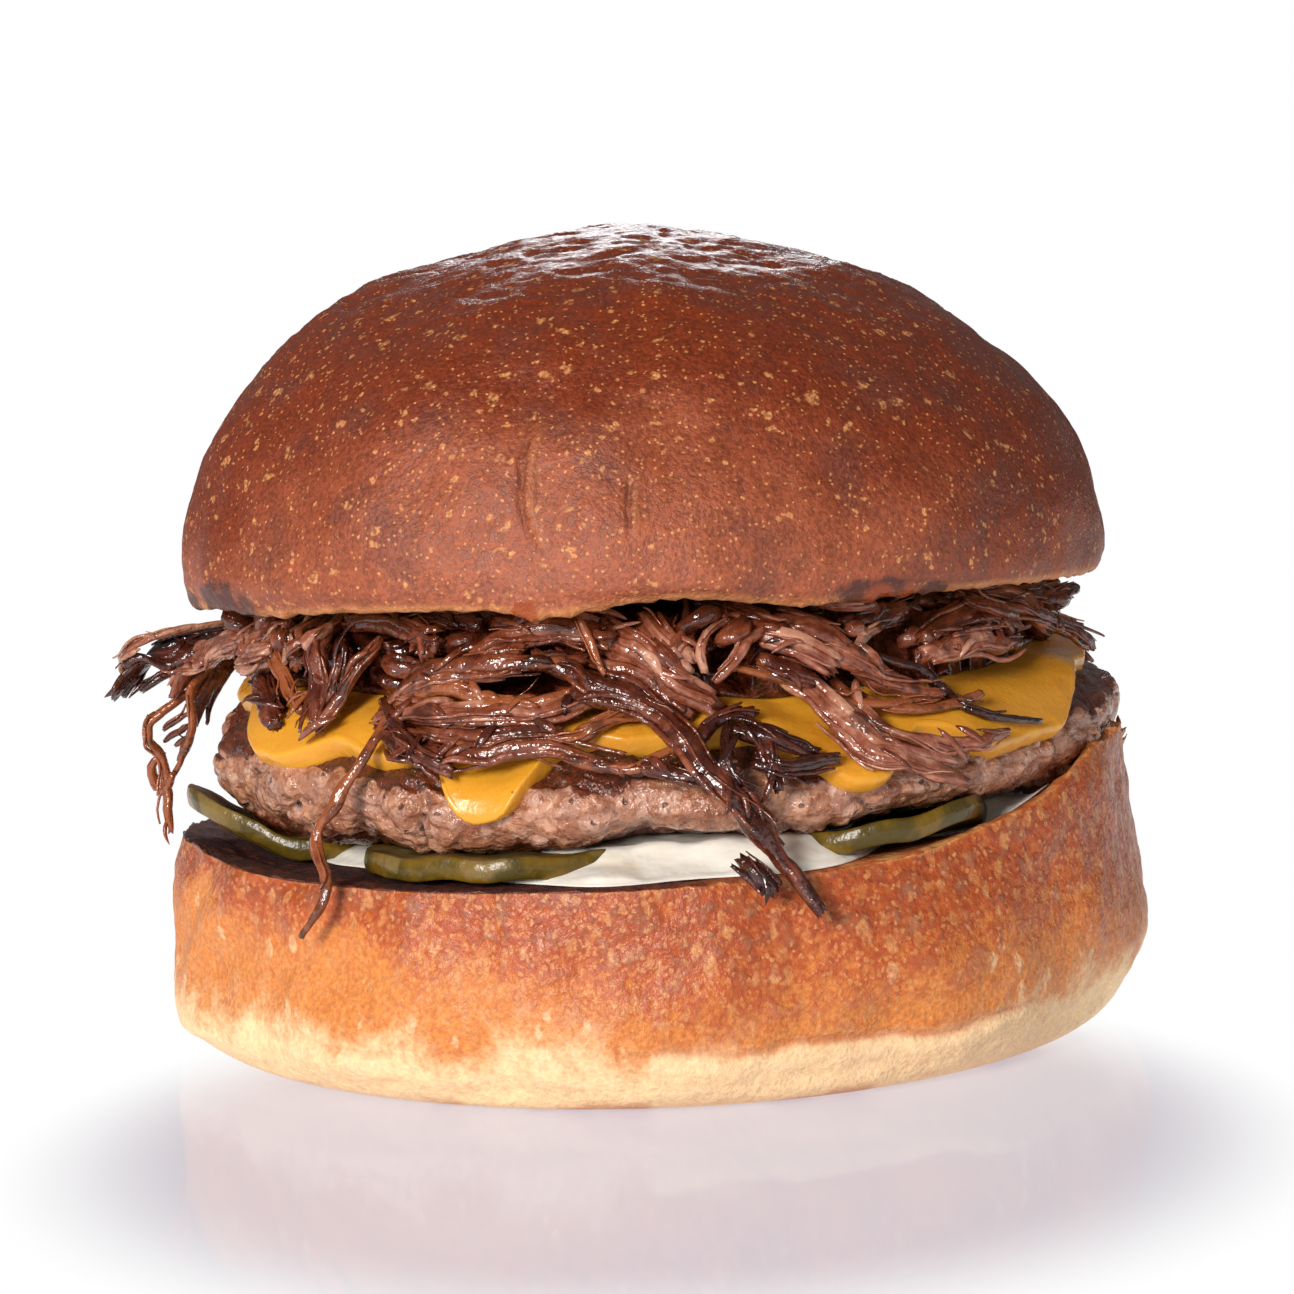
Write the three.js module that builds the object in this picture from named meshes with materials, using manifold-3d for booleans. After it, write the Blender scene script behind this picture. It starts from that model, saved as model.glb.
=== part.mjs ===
// A short rib burger: bun heel, sauce, pickle chips, beef patty, melted cheese slice, a heap of
// pulled short rib and a domed bun crown. Millimetres, +Z up. The origin is the centre of the
// heel's flat underside. Angles run anticlockwise seen from above, 0 at +X, and -90 is the front.

import * as THREE from 'three';
import { mergeVertices } from 'three/addons/utils/BufferGeometryUtils.js';
import Module from 'manifold-3d';

// ---- driving dimensions ----

const GAP = 0.3;
const FACET_ALLOWANCE = 0.1;
const FACET_SIZE = 0.08;

const CROWN = { radius: 52.3, waist: 52.0, apex: 88.5, underside: 49.8, rim: 49.3, lean: 0.036 };
const CROWN_RIM_WAVES = [
  { at: -168, by: -0.9, spread: 12 },
  { at: -140, by: -0.7, spread: 10 },
  { at: -100, by: -0.6, spread: 5 },
  { at: -86, by: 0.6, spread: 8 },
  { at: -73, by: -0.6, spread: 6 },
  { at: 60, by: -0.6, spread: 14 },
  { at: 140, by: 0.5, spread: 12 },
];

const HEEL = { contact: 48.2, belly: 55.2, cut: 53.3, cutHeight: 22.6, cutSlope: 0.03 };
const HEEL_BELLY_HEIGHT = { mean: 9.6, rightHigher: 3.6 };
const HEEL_LIPS = [
  { at: -165, by: 1.9, spread: 34 },
  { at: -49, by: 0.8, spread: 12 },
  { at: -20, by: 8.2, spread: 22 },
  { at: 60, by: 1.2, spread: 20 },
  { at: 120, by: 0.9, spread: 18 },
];
const HEEL_LIP_START = 45;
// Shares of the cut's radius at which its facets turn.
const HEEL_CUT_RINGS = [0, 0.5, 0.84, 0.93, 0.985];

const PATTY = { radius: 50.6, top: 43.0, waist: 29.5, bottom: 25.9, bottomSlope: 0.04 };
const PATTY_RIGHT_REACH = 1.8;
const PATTY_WAIST_RISES = [
  { at: 180, by: 3.5, spread: 45 },
  { at: 0, by: 6.0, spread: 40 },
  { at: 90, by: 1.0, spread: 60 },
];
// Each point is a share of the radius, and of the height above (or below) the waist.
const PATTY_PROFILE = [
  [0, 1],
  [0.4, 0.97],
  [0.7, 0.78],
  [0.88, 0.5],
  [0.965, 0.24],
  [1, 0],
  [0.975, -0.55],
  [0.9, -0.93],
  [0.75, -1],
  [0, -1],
];
const PATTY_WAIST_SHARE = 5 / (PATTY_PROFILE.length - 1);
const PATTY_CRAG = { depth: 0.5, wavelength: 13, fadesFrom: 0.8 };

const CHEESE = { thickness: 1.6, edge: 0.385 };
// The melted corners and drips of the slice, as reach down the patty's profile.
const CHEESE_DRIPS = [
  { at: -143, by: 0.13, spread: 9 },
  { at: -124, by: 0.07, spread: 6 },
  { at: -109, by: 0.21, spread: 5.5 },
  { at: -67, by: 0.16, spread: 5.5 },
  { at: -43, by: 0.14, spread: 13 },
  { at: 22, by: 0.07, spread: 9 },
  { at: 46, by: 0.14, spread: 11 },
  { at: 78, by: 0.13, spread: 6 },
  { at: 104, by: 0.18, spread: 6 },
  { at: 137, by: 0.14, spread: 11 },
  { at: 168, by: 0.1, spread: 8 },
];

const PICKLE = { radius: 14.5, thickness: 2.3, ridge: 0.16, ridgePitch: 7.5 };
const PICKLES = [
  { name: 'pickle_left', at: -163, out: 38.5, curl: 4.4 },
  { name: 'pickle_front', at: -113, out: 37.8, curl: 0.6 },
  { name: 'pickle_right', at: -58, out: 38.4, curl: 1.4 },
  { name: 'pickle_back_right', at: 62, out: 37, curl: 0.8 },
  { name: 'pickle_back_left', at: 128, out: 37.5, curl: 1 },
];
const PICKLE_CURL_START = 43;
// Of five rings, the second and third are the chip's top and bottom rims.
const PICKLE_WALL_SHARE = 0.8;

const SAUCE = { radius: 43, thickness: 4.6, edgeDrop: 1.6, least: 0.8 };
const SAUCE_LOBES = [
  { at: -92, by: 9.4, spread: 19 },
  { at: -70, by: 6.6, spread: 9 },
  { at: -40, by: 6.6, spread: 9 },
  { at: 20, by: 4, spread: 16 },
  { at: 95, by: 8.4, spread: 13 },
  { at: 165, by: 4, spread: 14 },
];

const HEAP = { radius: 41, top: 49.4, edgeTop: 46.5 };
const HEAP_LOBES = [
  { at: 180, by: 3, spread: 30 },
  { at: -120, by: -1.5, spread: 20 },
  { at: -30, by: 3, spread: 25 },
  { at: 60, by: 2, spread: 20 },
];

// Pulled strands that show. A route's points are an angle, a distance from the axis and a height.
const STRANDS = [
  { route: [[170, 40, 46], [175, 50, 45.5], [178, 57, 44], [177, 60.5, 41.5], [175, 60.5, 39.5]], wide: 4.6, thick: 1.5 },
  { route: [[172, 42, 45], [175, 52, 43.5], [176, 59, 41.5], [177, 62, 38]], wide: 3.2, thick: 1.7 },
  { route: [[166, 38, 45], [173, 45, 45], [177, 50, 42.5], [178, 56, 36]], wide: 3, thick: 1.8 },
  { route: [[170, 46, 42], [173, 56, 38], [173, 59.5, 32], [171, 58.5, 27], [173, 57.5, 20.5]], wide: 1.7, thick: 1.5 },
  { route: [[174, 48, 41], [176, 55, 36], [175, 58, 30], [171, 60, 24]], wide: 1.6, thick: 1.5 },
  { route: [[166, 40, 44], [170, 48, 43], [173, 52, 38], [174, 54, 34]], wide: 2.8, thick: 2 },
  { route: [[-178, 40, 45], [-162, 43, 43], [-147, 47, 40], [-138, 49, 37]], wide: 3, thick: 2.2 },
  { route: [[-152, 36, 47], [-140, 42, 45.5], [-134, 47, 41.5], [-132, 50, 37]], wide: 3.8, thick: 2.6 },
  { route: [[-147, 37, 45], [-136, 44, 42], [-130, 49, 37.5]], wide: 2.8, thick: 2 },
  { route: [[-123, 49, 37.5], [-121, 43.5, 42], [-113, 39, 44.5], [-102, 40, 44]], wide: 3.4, thick: 2.2 },
  { route: [[-125, 49.5, 37], [-118, 46.5, 40.5], [-109, 43, 43], [-96, 45, 41.5]], wide: 3, thick: 2.2 },
  { route: [[-125, 46, 40], [-115, 40, 44], [-103, 39, 44.5], [-90, 48, 39]], wide: 3.6, thick: 2.4 },
  { route: [[-120, 49.5, 37.5], [-111, 47.5, 39.5], [-103, 47, 40], [-95, 49.5, 38]], wide: 2.6, thick: 2 },
  {
    route: [[-122, 44, 42], [-124, 51.5, 35], [-128, 54, 27.5], [-125, 56.2, 21.5], [-128, 56.6, 17.5]],
    wide: 1.7,
    thick: 1.5,
  },
  { route: [[-124, 47, 40], [-118, 51, 36], [-113, 52, 34]], wide: 2.4, thick: 2 },
  { route: [[-113, 50, 36.5], [-106, 51, 35], [-96, 51, 36]], wide: 2.4, thick: 1.8 },
  {
    route: [[-111, 34, 45.5], [-98, 42, 43], [-90, 48, 40], [-83, 53.5, 34], [-79, 55, 27], [-74, 57, 20]],
    wide: 3.2,
    thick: 2.8,
  },
  { route: [[-100, 28, 47], [-91, 37, 45.5], [-86, 44, 42], [-82, 49, 38.5]], wide: 4.4, thick: 2.8 },
  { route: [[-82, 41, 43.5], [-77, 37, 46.5], [-69, 36, 47.3], [-70, 41, 45]], wide: 1.8, thick: 1.6 },
  { route: [[-74, 30, 47], [-65, 37, 46], [-62, 44, 43], [-55, 48.5, 40]], wide: 4.2, thick: 2.6 },
  { route: [[-80, 40, 44], [-72, 45, 42.5], [-67, 50, 39], [-63, 54, 34], [-57, 54.5, 33]], wide: 3.4, thick: 2.2 },
  { route: [[-72, 42, 43.5], [-66, 48, 41], [-60, 52.5, 37], [-50, 53.5, 37]], wide: 2.4, thick: 1.8 },
  { route: [[-60, 38, 45.5], [-51, 43, 44.5], [-49, 49, 41], [-44, 53, 38]], wide: 1.9, thick: 1.7 },
  { route: [[-50, 35, 46], [-40, 41, 47], [-32, 45, 47], [-29, 48, 44]], wide: 4.2, thick: 2.6 },
  { route: [[-48, 41, 47.6], [-36, 46, 47], [-25, 49.5, 45], [-17, 51.5, 43.5]], wide: 3.4, thick: 2.2 },
  { route: [[-90, 48, 39], [-81, 53, 35], [-75, 54.5, 30.5]], wide: 2.2, thick: 1.8 },
  { route: [[-93, 48.5, 39], [-85, 52, 36], [-77, 52.5, 36]], wide: 2.4, thick: 1.8 },
  { route: [[176, 40, 46], [-166, 45, 44], [-157, 46, 43]], wide: 4, thick: 2.4 },
];
// Strands of the sides and back, one after another round the heap.
const LOOSE_STRANDS = { count: 22, from: 8, to: 164, start: 35, reach: 50, wide: 3, thick: 2.1 };
const STRAND_SIDES = 5;
const STRAND_STEPS_PER_SPAN = 2;

const COLUMNS = { crown: 52, heel: 52, patty: 48, cheese: 60, pickle: 18, sauce: 36, heap: 36 };
const RINGS = { crown: 13, heel: 11, patty: 15, cheese: 10, pickle: 5, sauce: 8, heap: 10 };

// ---- small helpers ----

const DEGREE = Math.PI / 180;
const GOLDEN_ANGLE = 2.399963;

function turnBetween(deg, at) {
  return ((((deg - at + 180) % 360) + 360) % 360) - 180;
}

// Sum of smooth rises at named angles.
function rises(deg, list) {
  return list.reduce((sum, rise) => sum + rise.by * Math.exp(-((turnBetween(deg, rise.at) / rise.spread) ** 2)), 0);
}

// Smooth uneven relief between about -1 and 1, from plane waves in evenly spread directions.
function relief(x, y, z, wavelength, waves = 9) {
  let sum = 0;
  for (let i = 0; i < waves; i += 1) {
    const dz = 1 - (2 * i + 1) / waves;
    const flat = Math.sqrt(1 - dz * dz);
    const turn = i * GOLDEN_ANGLE;
    const along = x * flat * Math.cos(turn) + y * flat * Math.sin(turn) + z * dz;
    sum += Math.sin((2 * Math.PI * along) / wavelength + i * 1.7);
  }
  return sum / Math.sqrt(waves);
}

function mix(a, b, share) {
  return a + (b - a) * share;
}

function easeBetween(low, high, value) {
  const share = Math.min(Math.max((value - low) / (high - low), 0), 1);
  return share * share * (3 - 2 * share);
}

function randomFrom(seed) {
  let state = seed;
  return () => {
    state = (state * 1664525 + 1013904223) % 4294967296;
    return state / 4294967296;
  };
}

function polar(deg, radius, height) {
  return new THREE.Vector3(radius * Math.cos(deg * DEGREE), radius * Math.sin(deg * DEGREE), height);
}

function closedShape(geometry) {
  geometry.deleteAttribute('normal');
  geometry.deleteAttribute('uv');
  return mergeVertices(geometry, 1e-5);
}

// A closed round body: place(deg, share) gives the surface point at an angle and a share of the
// way from the top pole (0) to the bottom pole (1).
function roundBody(columns, rings, place) {
  const shape = closedShape(new THREE.SphereGeometry(1, columns, rings));
  const points = shape.attributes.position;
  const poleShare = 0.5 / rings;
  for (let i = 0; i < points.count; i += 1) {
    const share = Math.acos(THREE.MathUtils.clamp(points.getY(i), -1, 1)) / Math.PI;
    const deg = Math.atan2(-points.getZ(i), points.getX(i)) / DEGREE;
    const onPole = share < poleShare || share > 1 - poleShare;
    const spot = place(onPole ? 0 : deg, share);
    points.setXYZ(i, spot.x, spot.y, spot.z);
  }
  return shape;
}

function splineAt(points, share) {
  const curve = new THREE.SplineCurve(points.map(([a, b]) => new THREE.Vector2(a, b)));
  return curve.getPoint(share);
}

// The same shape with every corner moved out along its normal.
function grown(shape, by) {
  const copy = shape.clone();
  copy.computeVertexNormals();
  const points = copy.attributes.position;
  const normals = copy.attributes.normal;
  for (let i = 0; i < points.count; i += 1) {
    points.setXYZ(
      i,
      points.getX(i) + by * normals.getX(i),
      points.getY(i) + by * normals.getY(i),
      points.getZ(i) + by * normals.getZ(i),
    );
  }
  copy.deleteAttribute('normal');
  return copy;
}

// ---- solid joins and cuts ----

const wasm = await Module();
wasm.setup();

function solidOf(shape) {
  return new wasm.Manifold(
    new wasm.Mesh({
      numProp: 3,
      vertProperties: new Float32Array(shape.attributes.position.array),
      triVerts: new Uint32Array(shape.index.array),
    }),
  );
}

// The largest single piece of a solid, without loose scraps, as a shape.
function largestPiece(solid) {
  const pieces = solid.simplify(FACET_SIZE).decompose();
  pieces.sort((a, b) => b.volume() - a.volume());
  const mesh = pieces[0].getMesh();
  const shape = new THREE.BufferGeometry();
  shape.setAttribute('position', new THREE.BufferAttribute(new Float32Array(mesh.vertProperties), 3));
  shape.setIndex(new THREE.BufferAttribute(new Uint32Array(mesh.triVerts), 1));
  return shape;
}

function cutBack(shape, neighbours) {
  const room = neighbours.map((neighbour) => solidOf(grown(neighbour, GAP + FACET_ALLOWANCE)));
  return largestPiece(room.reduce((solid, cutter) => solid.subtract(cutter), solidOf(shape)));
}

// ---- bun crown ----

const CROWN_DOME_SHARE = 0.6;

function crownPoint(deg, share) {
  const rim = CROWN.rim + rises(deg, CROWN_RIM_WAVES);
  if (share <= CROWN_DOME_SHARE) {
    const fall = (share / CROWN_DOME_SHARE) * (Math.PI / 2);
    const spot = polar(deg, CROWN.radius * Math.sin(fall), CROWN.waist);
    const rise = (CROWN.apex - CROWN.waist) * Math.cos(fall);
    const bump = 0.55 * relief(spot.x, spot.y, rise, 30) + 0.2 * relief(spot.x, spot.y, rise, 11);
    const swell = 1 + (bump / CROWN.radius) * Math.sin(fall);
    spot.x *= swell;
    spot.y *= swell;
    spot.z += rise - CROWN.lean * spot.x * Math.cos(fall) + bump * Math.cos(fall);
    return spot;
  }
  const under = [
    [CROWN.radius, CROWN.waist],
    [CROWN.radius - 0.2, CROWN.waist - 1.3],
    [CROWN.radius - 1.2, rim],
    [CROWN.radius - 3.2, rim + 0.1],
    [CROWN.radius - 9, CROWN.underside],
    [0, CROWN.underside],
  ];
  const spot = splineAt(under, (share - CROWN_DOME_SHARE) / (1 - CROWN_DOME_SHARE));
  return polar(deg, spot.x, spot.y);
}

// ---- bun heel ----

function heelCutHeight(deg, radius) {
  const lip = rises(deg, HEEL_LIPS) * easeBetween(HEEL_LIP_START, HEEL.cut, radius);
  return HEEL.cutHeight + HEEL.cutSlope * radius * Math.cos(deg * DEGREE) + lip;
}

// The cut's height as its flat facets give it.
function heelFloor(deg, radius) {
  const last = HEEL_CUT_RINGS.length - 1;
  const share = Math.min(radius / HEEL.cut, HEEL_CUT_RINGS[last]);
  const i = Math.max(HEEL_CUT_RINGS.findIndex((ring) => ring >= share), 1);
  const [inner, outer] = [HEEL_CUT_RINGS[i - 1], HEEL_CUT_RINGS[i]];
  const way = (share - inner) / (outer - inner);
  return mix(heelCutHeight(deg, inner * HEEL.cut), heelCutHeight(deg, outer * HEEL.cut), way);
}

function heelOutline(deg) {
  const bellyHeight = HEEL_BELLY_HEIGHT.mean + HEEL_BELLY_HEIGHT.rightHigher * Math.cos(deg * DEGREE);
  const top = heelCutHeight(deg, HEEL.cut);
  return [
    ...HEEL_CUT_RINGS.map((share) => [share * HEEL.cut, heelCutHeight(deg, share * HEEL.cut)]),
    [HEEL.cut, top - 0.9],
    [mix(HEEL.cut, HEEL.belly, 0.62), mix(top, bellyHeight, 0.5)],
    [HEEL.belly, bellyHeight],
    [HEEL.belly - 1.5, bellyHeight * 0.38],
    [HEEL.contact, 0],
    [HEEL.contact * 0.6, 0],
    [0, 0],
  ];
}

function heelPoint(deg, share) {
  const spot = splineAt(heelOutline(deg), share);
  const onSide = easeBetween(0.5, 4, spot.y) * easeBetween(HEEL.cut * 0.6, HEEL.cut, spot.x);
  const around = polar(deg, spot.x, spot.y);
  const swell = 0.5 * relief(around.x, around.y, around.z * 1.5, 26) + 0.18 * relief(around.x, around.y, around.z, 10);
  return polar(deg, spot.x + swell * onSide, Math.max(spot.y, 0));
}

// ---- beef patty ----

function pattyWaist(deg) {
  return PATTY.waist + rises(deg, PATTY_WAIST_RISES);
}

function pattyPlain(deg, share) {
  const radius = PATTY.radius + PATTY_RIGHT_REACH * Math.cos(deg * DEGREE);
  const waist = pattyWaist(deg);
  const bottom = PATTY.bottom + PATTY.bottomSlope * radius * Math.cos(deg * DEGREE);
  const spot = splineAt(PATTY_PROFILE, share);
  const height = spot.y > 0 ? mix(waist, PATTY.top, spot.y) : mix(waist, bottom, -spot.y);
  return { radius: radius * spot.x, height };
}

// A point on the patty, or lifted off it by a distance along the surface normal.
function pattyPoint(deg, share, lift = 0) {
  const step = 0.012;
  const spot = pattyPlain(deg, share);
  const before = pattyPlain(deg, Math.max(share - step, 0));
  const after = pattyPlain(deg, Math.min(share + step, 1));
  const run = after.radius - before.radius;
  const fall = after.height - before.height;
  const length = Math.hypot(run, fall);
  const at = polar(deg, spot.radius, spot.height);
  const shown = 1 - easeBetween(PATTY_CRAG.fadesFrom, 1, share);
  const crag = PATTY_CRAG.depth * shown * relief(at.x, at.y, at.z, PATTY_CRAG.wavelength);
  const out = lift + crag;
  return polar(deg, spot.radius - (out * fall) / length, spot.height + (out * run) / length);
}

// Height of the underside at a distance from the axis, and above everything beyond the edge.
function pattyUnderside(deg, radius) {
  let outer = PATTY_WAIST_SHARE;
  let inner = 1;
  if (radius >= pattyPlain(deg, outer).radius) return Infinity;
  for (let i = 0; i < 12; i += 1) {
    const middle = (outer + inner) / 2;
    if (pattyPlain(deg, middle).radius > radius) outer = middle;
    else inner = middle;
  }
  return pattyPlain(deg, inner).height;
}

// ---- cheese slice ----

// The slice is made reaching this far into the patty, and then cut back.
const CHEESE_SINK = 0.5;

function cheeseEdge(deg) {
  return CHEESE.edge + rises(deg, CHEESE_DRIPS);
}

function cheesePoint(deg, share) {
  const onTop = share <= 0.5;
  const way = onTop ? share / 0.5 : (1 - share) / 0.5;
  const edge = cheeseEdge(deg);
  const bead = easeBetween(0.6, 0.9, way) * 0.3 - easeBetween(0.93, 1, way) * 0.9;
  const lift = onTop ? GAP + CHEESE.thickness + bead : -CHEESE_SINK;
  return pattyPoint(deg, edge * way ** 0.8, lift);
}

// ---- pickle chips ----

function pickleShape(chip, grow = 0) {
  const centre = polar(chip.at, chip.out, 0);
  return roundBody(COLUMNS.pickle, RINGS.pickle, (deg, share) => {
    const side = Math.min(share, 1 - share) / 0.5;
    const upOrDown = Math.sign(0.5 - share) / 2;
    const across = polar(deg, (PICKLE.radius + grow) * Math.min(1, side / PICKLE_WALL_SHARE), 0);
    const x = centre.x + across.x;
    const y = centre.y + across.y;
    const radius = Math.hypot(x, y);
    const around = Math.atan2(y, x) / DEGREE;
    const curl = chip.curl * easeBetween(PICKLE_CURL_START, PICKLE_CURL_START + 14, radius);
    const ridge = PICKLE.ridge * Math.sin((2 * Math.PI * across.x) / PICKLE.ridgePitch);
    const rest = heelFloor(around, radius) + GAP + FACET_ALLOWANCE + PICKLE.ridge;
    const height = rest + PICKLE.thickness * (0.5 + upOrDown) + 2 * grow * upOrDown + curl + ridge;
    return new THREE.Vector3(x, y, height);
  });
}

// ---- sauce ----

function saucePoint(deg, share) {
  const onTop = share < 0.5;
  const way = Math.min(share, 1 - share) / 0.5;
  const reach = SAUCE.radius + rises(deg, SAUCE_LOBES) + 0.5 * Math.sin(deg * DEGREE * 13);
  const radius = reach * way ** 0.7;
  const floor = heelFloor(deg, radius) + GAP + FACET_ALLOWANCE;
  if (!onTop) return polar(deg, radius, floor);
  const bulge = 0.5 * Math.cos(deg * DEGREE * 9) * way - SAUCE.edgeDrop * easeBetween(0.7, 1, way);
  const ceiling = pattyUnderside(deg, radius) - GAP - PATTY_CRAG.depth;
  return polar(deg, radius, Math.max(Math.min(floor + SAUCE.thickness + bulge, ceiling), floor + SAUCE.least));
}

// ---- short rib heap ----

const OUTLINE_STEPS = 48;
const CHEESE_CLEARANCE = GAP + CHEESE.thickness + 0.3;

function pattyOutline(deg) {
  return Array.from({ length: OUTLINE_STEPS + 1 }, (_, i) => {
    const share = i / OUTLINE_STEPS;
    const cover = share < cheeseEdge(deg) + 0.02 ? CHEESE_CLEARANCE : 0;
    const spot = pattyPoint(deg, share, cover);
    return [Math.hypot(spot.x, spot.y), spot.z];
  });
}

function heelSide(deg) {
  const points = heelOutline(deg);
  return Array.from({ length: OUTLINE_STEPS + 1 }, (_, i) => {
    const spot = splineAt(points, i / OUTLINE_STEPS);
    return [spot.x, spot.y];
  });
}

// Moves a point out of an outline until it stands clear of it.
function standOff(outline, spot, clear) {
  let best = 0;
  let least = Infinity;
  outline.forEach(([radius, height], i) => {
    const distance = Math.hypot(spot.radius - radius, spot.height - height);
    if (distance < least) {
      least = distance;
      best = i;
    }
  });
  const [radius, height] = outline[best];
  const before = outline[Math.max(best - 1, 0)];
  const after = outline[Math.min(best + 1, outline.length - 1)];
  const run = after[0] - before[0];
  const fall = after[1] - before[1];
  const length = Math.hypot(run, fall);
  const out = ((spot.radius - radius) * -fall + (spot.height - height) * run) / length;
  if (out >= clear) return spot;
  return { radius: radius - (clear * fall) / length, height: height + (clear * run) / length };
}

function strandPath(route, thick) {
  const curve = new THREE.CatmullRomCurve3(route.map(([deg, radius, height]) => polar(deg, radius, height)));
  const steps = STRAND_STEPS_PER_SPAN * (route.length - 1) + 1;
  const clear = GAP + thick / 2;
  return Array.from({ length: steps + 1 }, (_, i) => {
    const at = curve.getPoint(i / steps);
    const deg = Math.atan2(at.y, at.x) / DEGREE;
    let spot = { radius: Math.hypot(at.x, at.y), height: at.z };
    spot = standOff(pattyOutline(deg), spot, clear);
    spot = standOff(heelSide(deg), spot, clear);
    const ceiling = CROWN.rim - GAP - 0.6 - thick / 2;
    return polar(deg, spot.radius, Math.min(spot.height, ceiling));
  });
}

function strandShape({ route, wide, thick }) {
  const path = new THREE.CatmullRomCurve3(strandPath(route, thick));
  const steps = STRAND_STEPS_PER_SPAN * (route.length - 1) + 1;
  const shape = closedShape(new THREE.CylinderGeometry(1, 1, 1, STRAND_SIDES, steps));
  const points = shape.attributes.position;
  for (let i = 0; i < points.count; i += 1) {
    const share = points.getY(i) + 0.5;
    const at = path.getPoint(share);
    const along = path.getTangent(share);
    const out = new THREE.Vector3(at.x, at.y, 0).normalize();
    out.z = 0.8;
    out.addScaledVector(along, -out.dot(along)).normalize();
    const across = new THREE.Vector3().crossVectors(along, out);
    const taper = 0.5 + 0.5 * Math.sin(Math.PI * share) ** 0.6;
    at.addScaledVector(across, points.getX(i) * (wide / 2) * taper);
    at.addScaledVector(out, points.getZ(i) * (thick / 2) * taper);
    points.setXYZ(i, at.x, at.y, at.z);
  }
  return shape;
}

function looseRoutes() {
  const random = randomFrom(7);
  return Array.from({ length: LOOSE_STRANDS.count }, (_, i) => {
    const at = mix(LOOSE_STRANDS.from, LOOSE_STRANDS.to, (i + 0.5 * random()) / LOOSE_STRANDS.count);
    const lean = mix(-16, 16, random());
    const end = mix(36, 44, random());
    const reach = LOOSE_STRANDS.reach + mix(-2, 3, random());
    const route = [
      [at, LOOSE_STRANDS.start, mix(45, 47.5, random())],
      [at + lean * 0.5, mix(LOOSE_STRANDS.start, reach, 0.6), mix(44, 46.5, random())],
      [at + lean, reach, end],
    ];
    return { route, wide: LOOSE_STRANDS.wide * mix(0.7, 1.3, random()), thick: LOOSE_STRANDS.thick };
  });
}

function heapPoint(deg, share) {
  const edge = HEAP.radius + rises(deg, HEAP_LOBES) + 1.2 * Math.sin(deg * DEGREE * 7 + 1);
  const topShare = 0.55;
  if (share < topShare) {
    const way = share / topShare;
    const bump = 0.5 * Math.sin(deg * DEGREE * 5) * way;
    return polar(deg, edge * way, mix(HEAP.top, HEAP.edgeTop, way ** 4) + Math.min(bump, 0));
  }
  const way = (1 - share) / (1 - topShare);
  const spot = pattyPoint(deg, 0.3 * way ** 0.8, CHEESE_CLEARANCE + GAP);
  return spot;
}

// ---- materials ----

function finish(color, roughness) {
  return new THREE.MeshStandardMaterial({ color, roughness, metalness: 0 });
}

const FINISHES = {
  crust: finish(0x8a4526, 0.38),
  bread: finish(0xd09a52, 0.6),
  beef: finish(0x7d5847, 0.5),
  cheese: finish(0xe2a233, 0.3),
  pickle: finish(0x5b5a1c, 0.3),
  sauce: finish(0xf1ebdc, 0.3),
  shortRib: finish(0x6f4130, 0.42),
};

// ---- the burger ----

const crown = roundBody(COLUMNS.crown, RINGS.crown, crownPoint);
const heel = roundBody(COLUMNS.heel, RINGS.heel, heelPoint);
const patty = cutBack(
  roundBody(COLUMNS.patty, RINGS.patty, (deg, share) => pattyPoint(deg, share)),
  [heel],
);
const cheese = cutBack(roundBody(COLUMNS.cheese, RINGS.cheese, cheesePoint), [patty]);
const chips = PICKLES.map((chip) => ({ name: chip.name, shape: cutBack(pickleShape(chip), [patty]) }));
const chipRoom = PICKLES.map((chip) => solidOf(pickleShape(chip, GAP + FACET_ALLOWANCE)));
const sauceRoom = [solidOf(grown(heel, GAP)), ...chipRoom];
const sauce = largestPiece(
  sauceRoom.reduce(
    (solid, neighbour) => solid.subtract(neighbour),
    solidOf(roundBody(COLUMNS.sauce, RINGS.sauce, saucePoint)),
  ),
);

const heapCore = solidOf(roundBody(COLUMNS.heap, RINGS.heap, heapPoint));
const heapSolid = [...STRANDS, ...looseRoutes()].reduce((solid, row) => solid.add(solidOf(strandShape(row))), heapCore);
const heapRoom = [patty, cheese, crown, heel, sauce, ...chips.map((chip) => chip.shape)];
const shortRib = largestPiece(
  heapRoom.reduce((solid, neighbour) => solid.subtract(solidOf(grown(neighbour, GAP))), heapSolid),
);

const burger = new THREE.Group();

function addPiece(name, shape, material) {
  const mesh = new THREE.Mesh(shape, material);
  mesh.name = name;
  burger.add(mesh);
}

addPiece('bun_heel', heel, FINISHES.bread);
addPiece('sauce', sauce, FINISHES.sauce);
chips.forEach((chip) => addPiece(chip.name, chip.shape, FINISHES.pickle));
addPiece('beef_patty', patty, FINISHES.beef);
addPiece('cheese_slice', cheese, FINISHES.cheese);
addPiece('short_rib', shortRib, FINISHES.shortRib);
addPiece('bun_crown', crown, FINISHES.crust);

export default burger;
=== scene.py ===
"""A short rib burger over its solid pieces: baked bun crown and heel, sauce, pickle chips, seared
patty, melted cheese and pulled short rib, on a plain studio stage.

Shapes are worked out in millimetres and handed to Blender in metres. The origin is the centre of
the heel's flat underside. Angles run anticlockwise seen from above, 0 at +X, and -90 is the front.
"""

from functools import partial
import math

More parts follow.
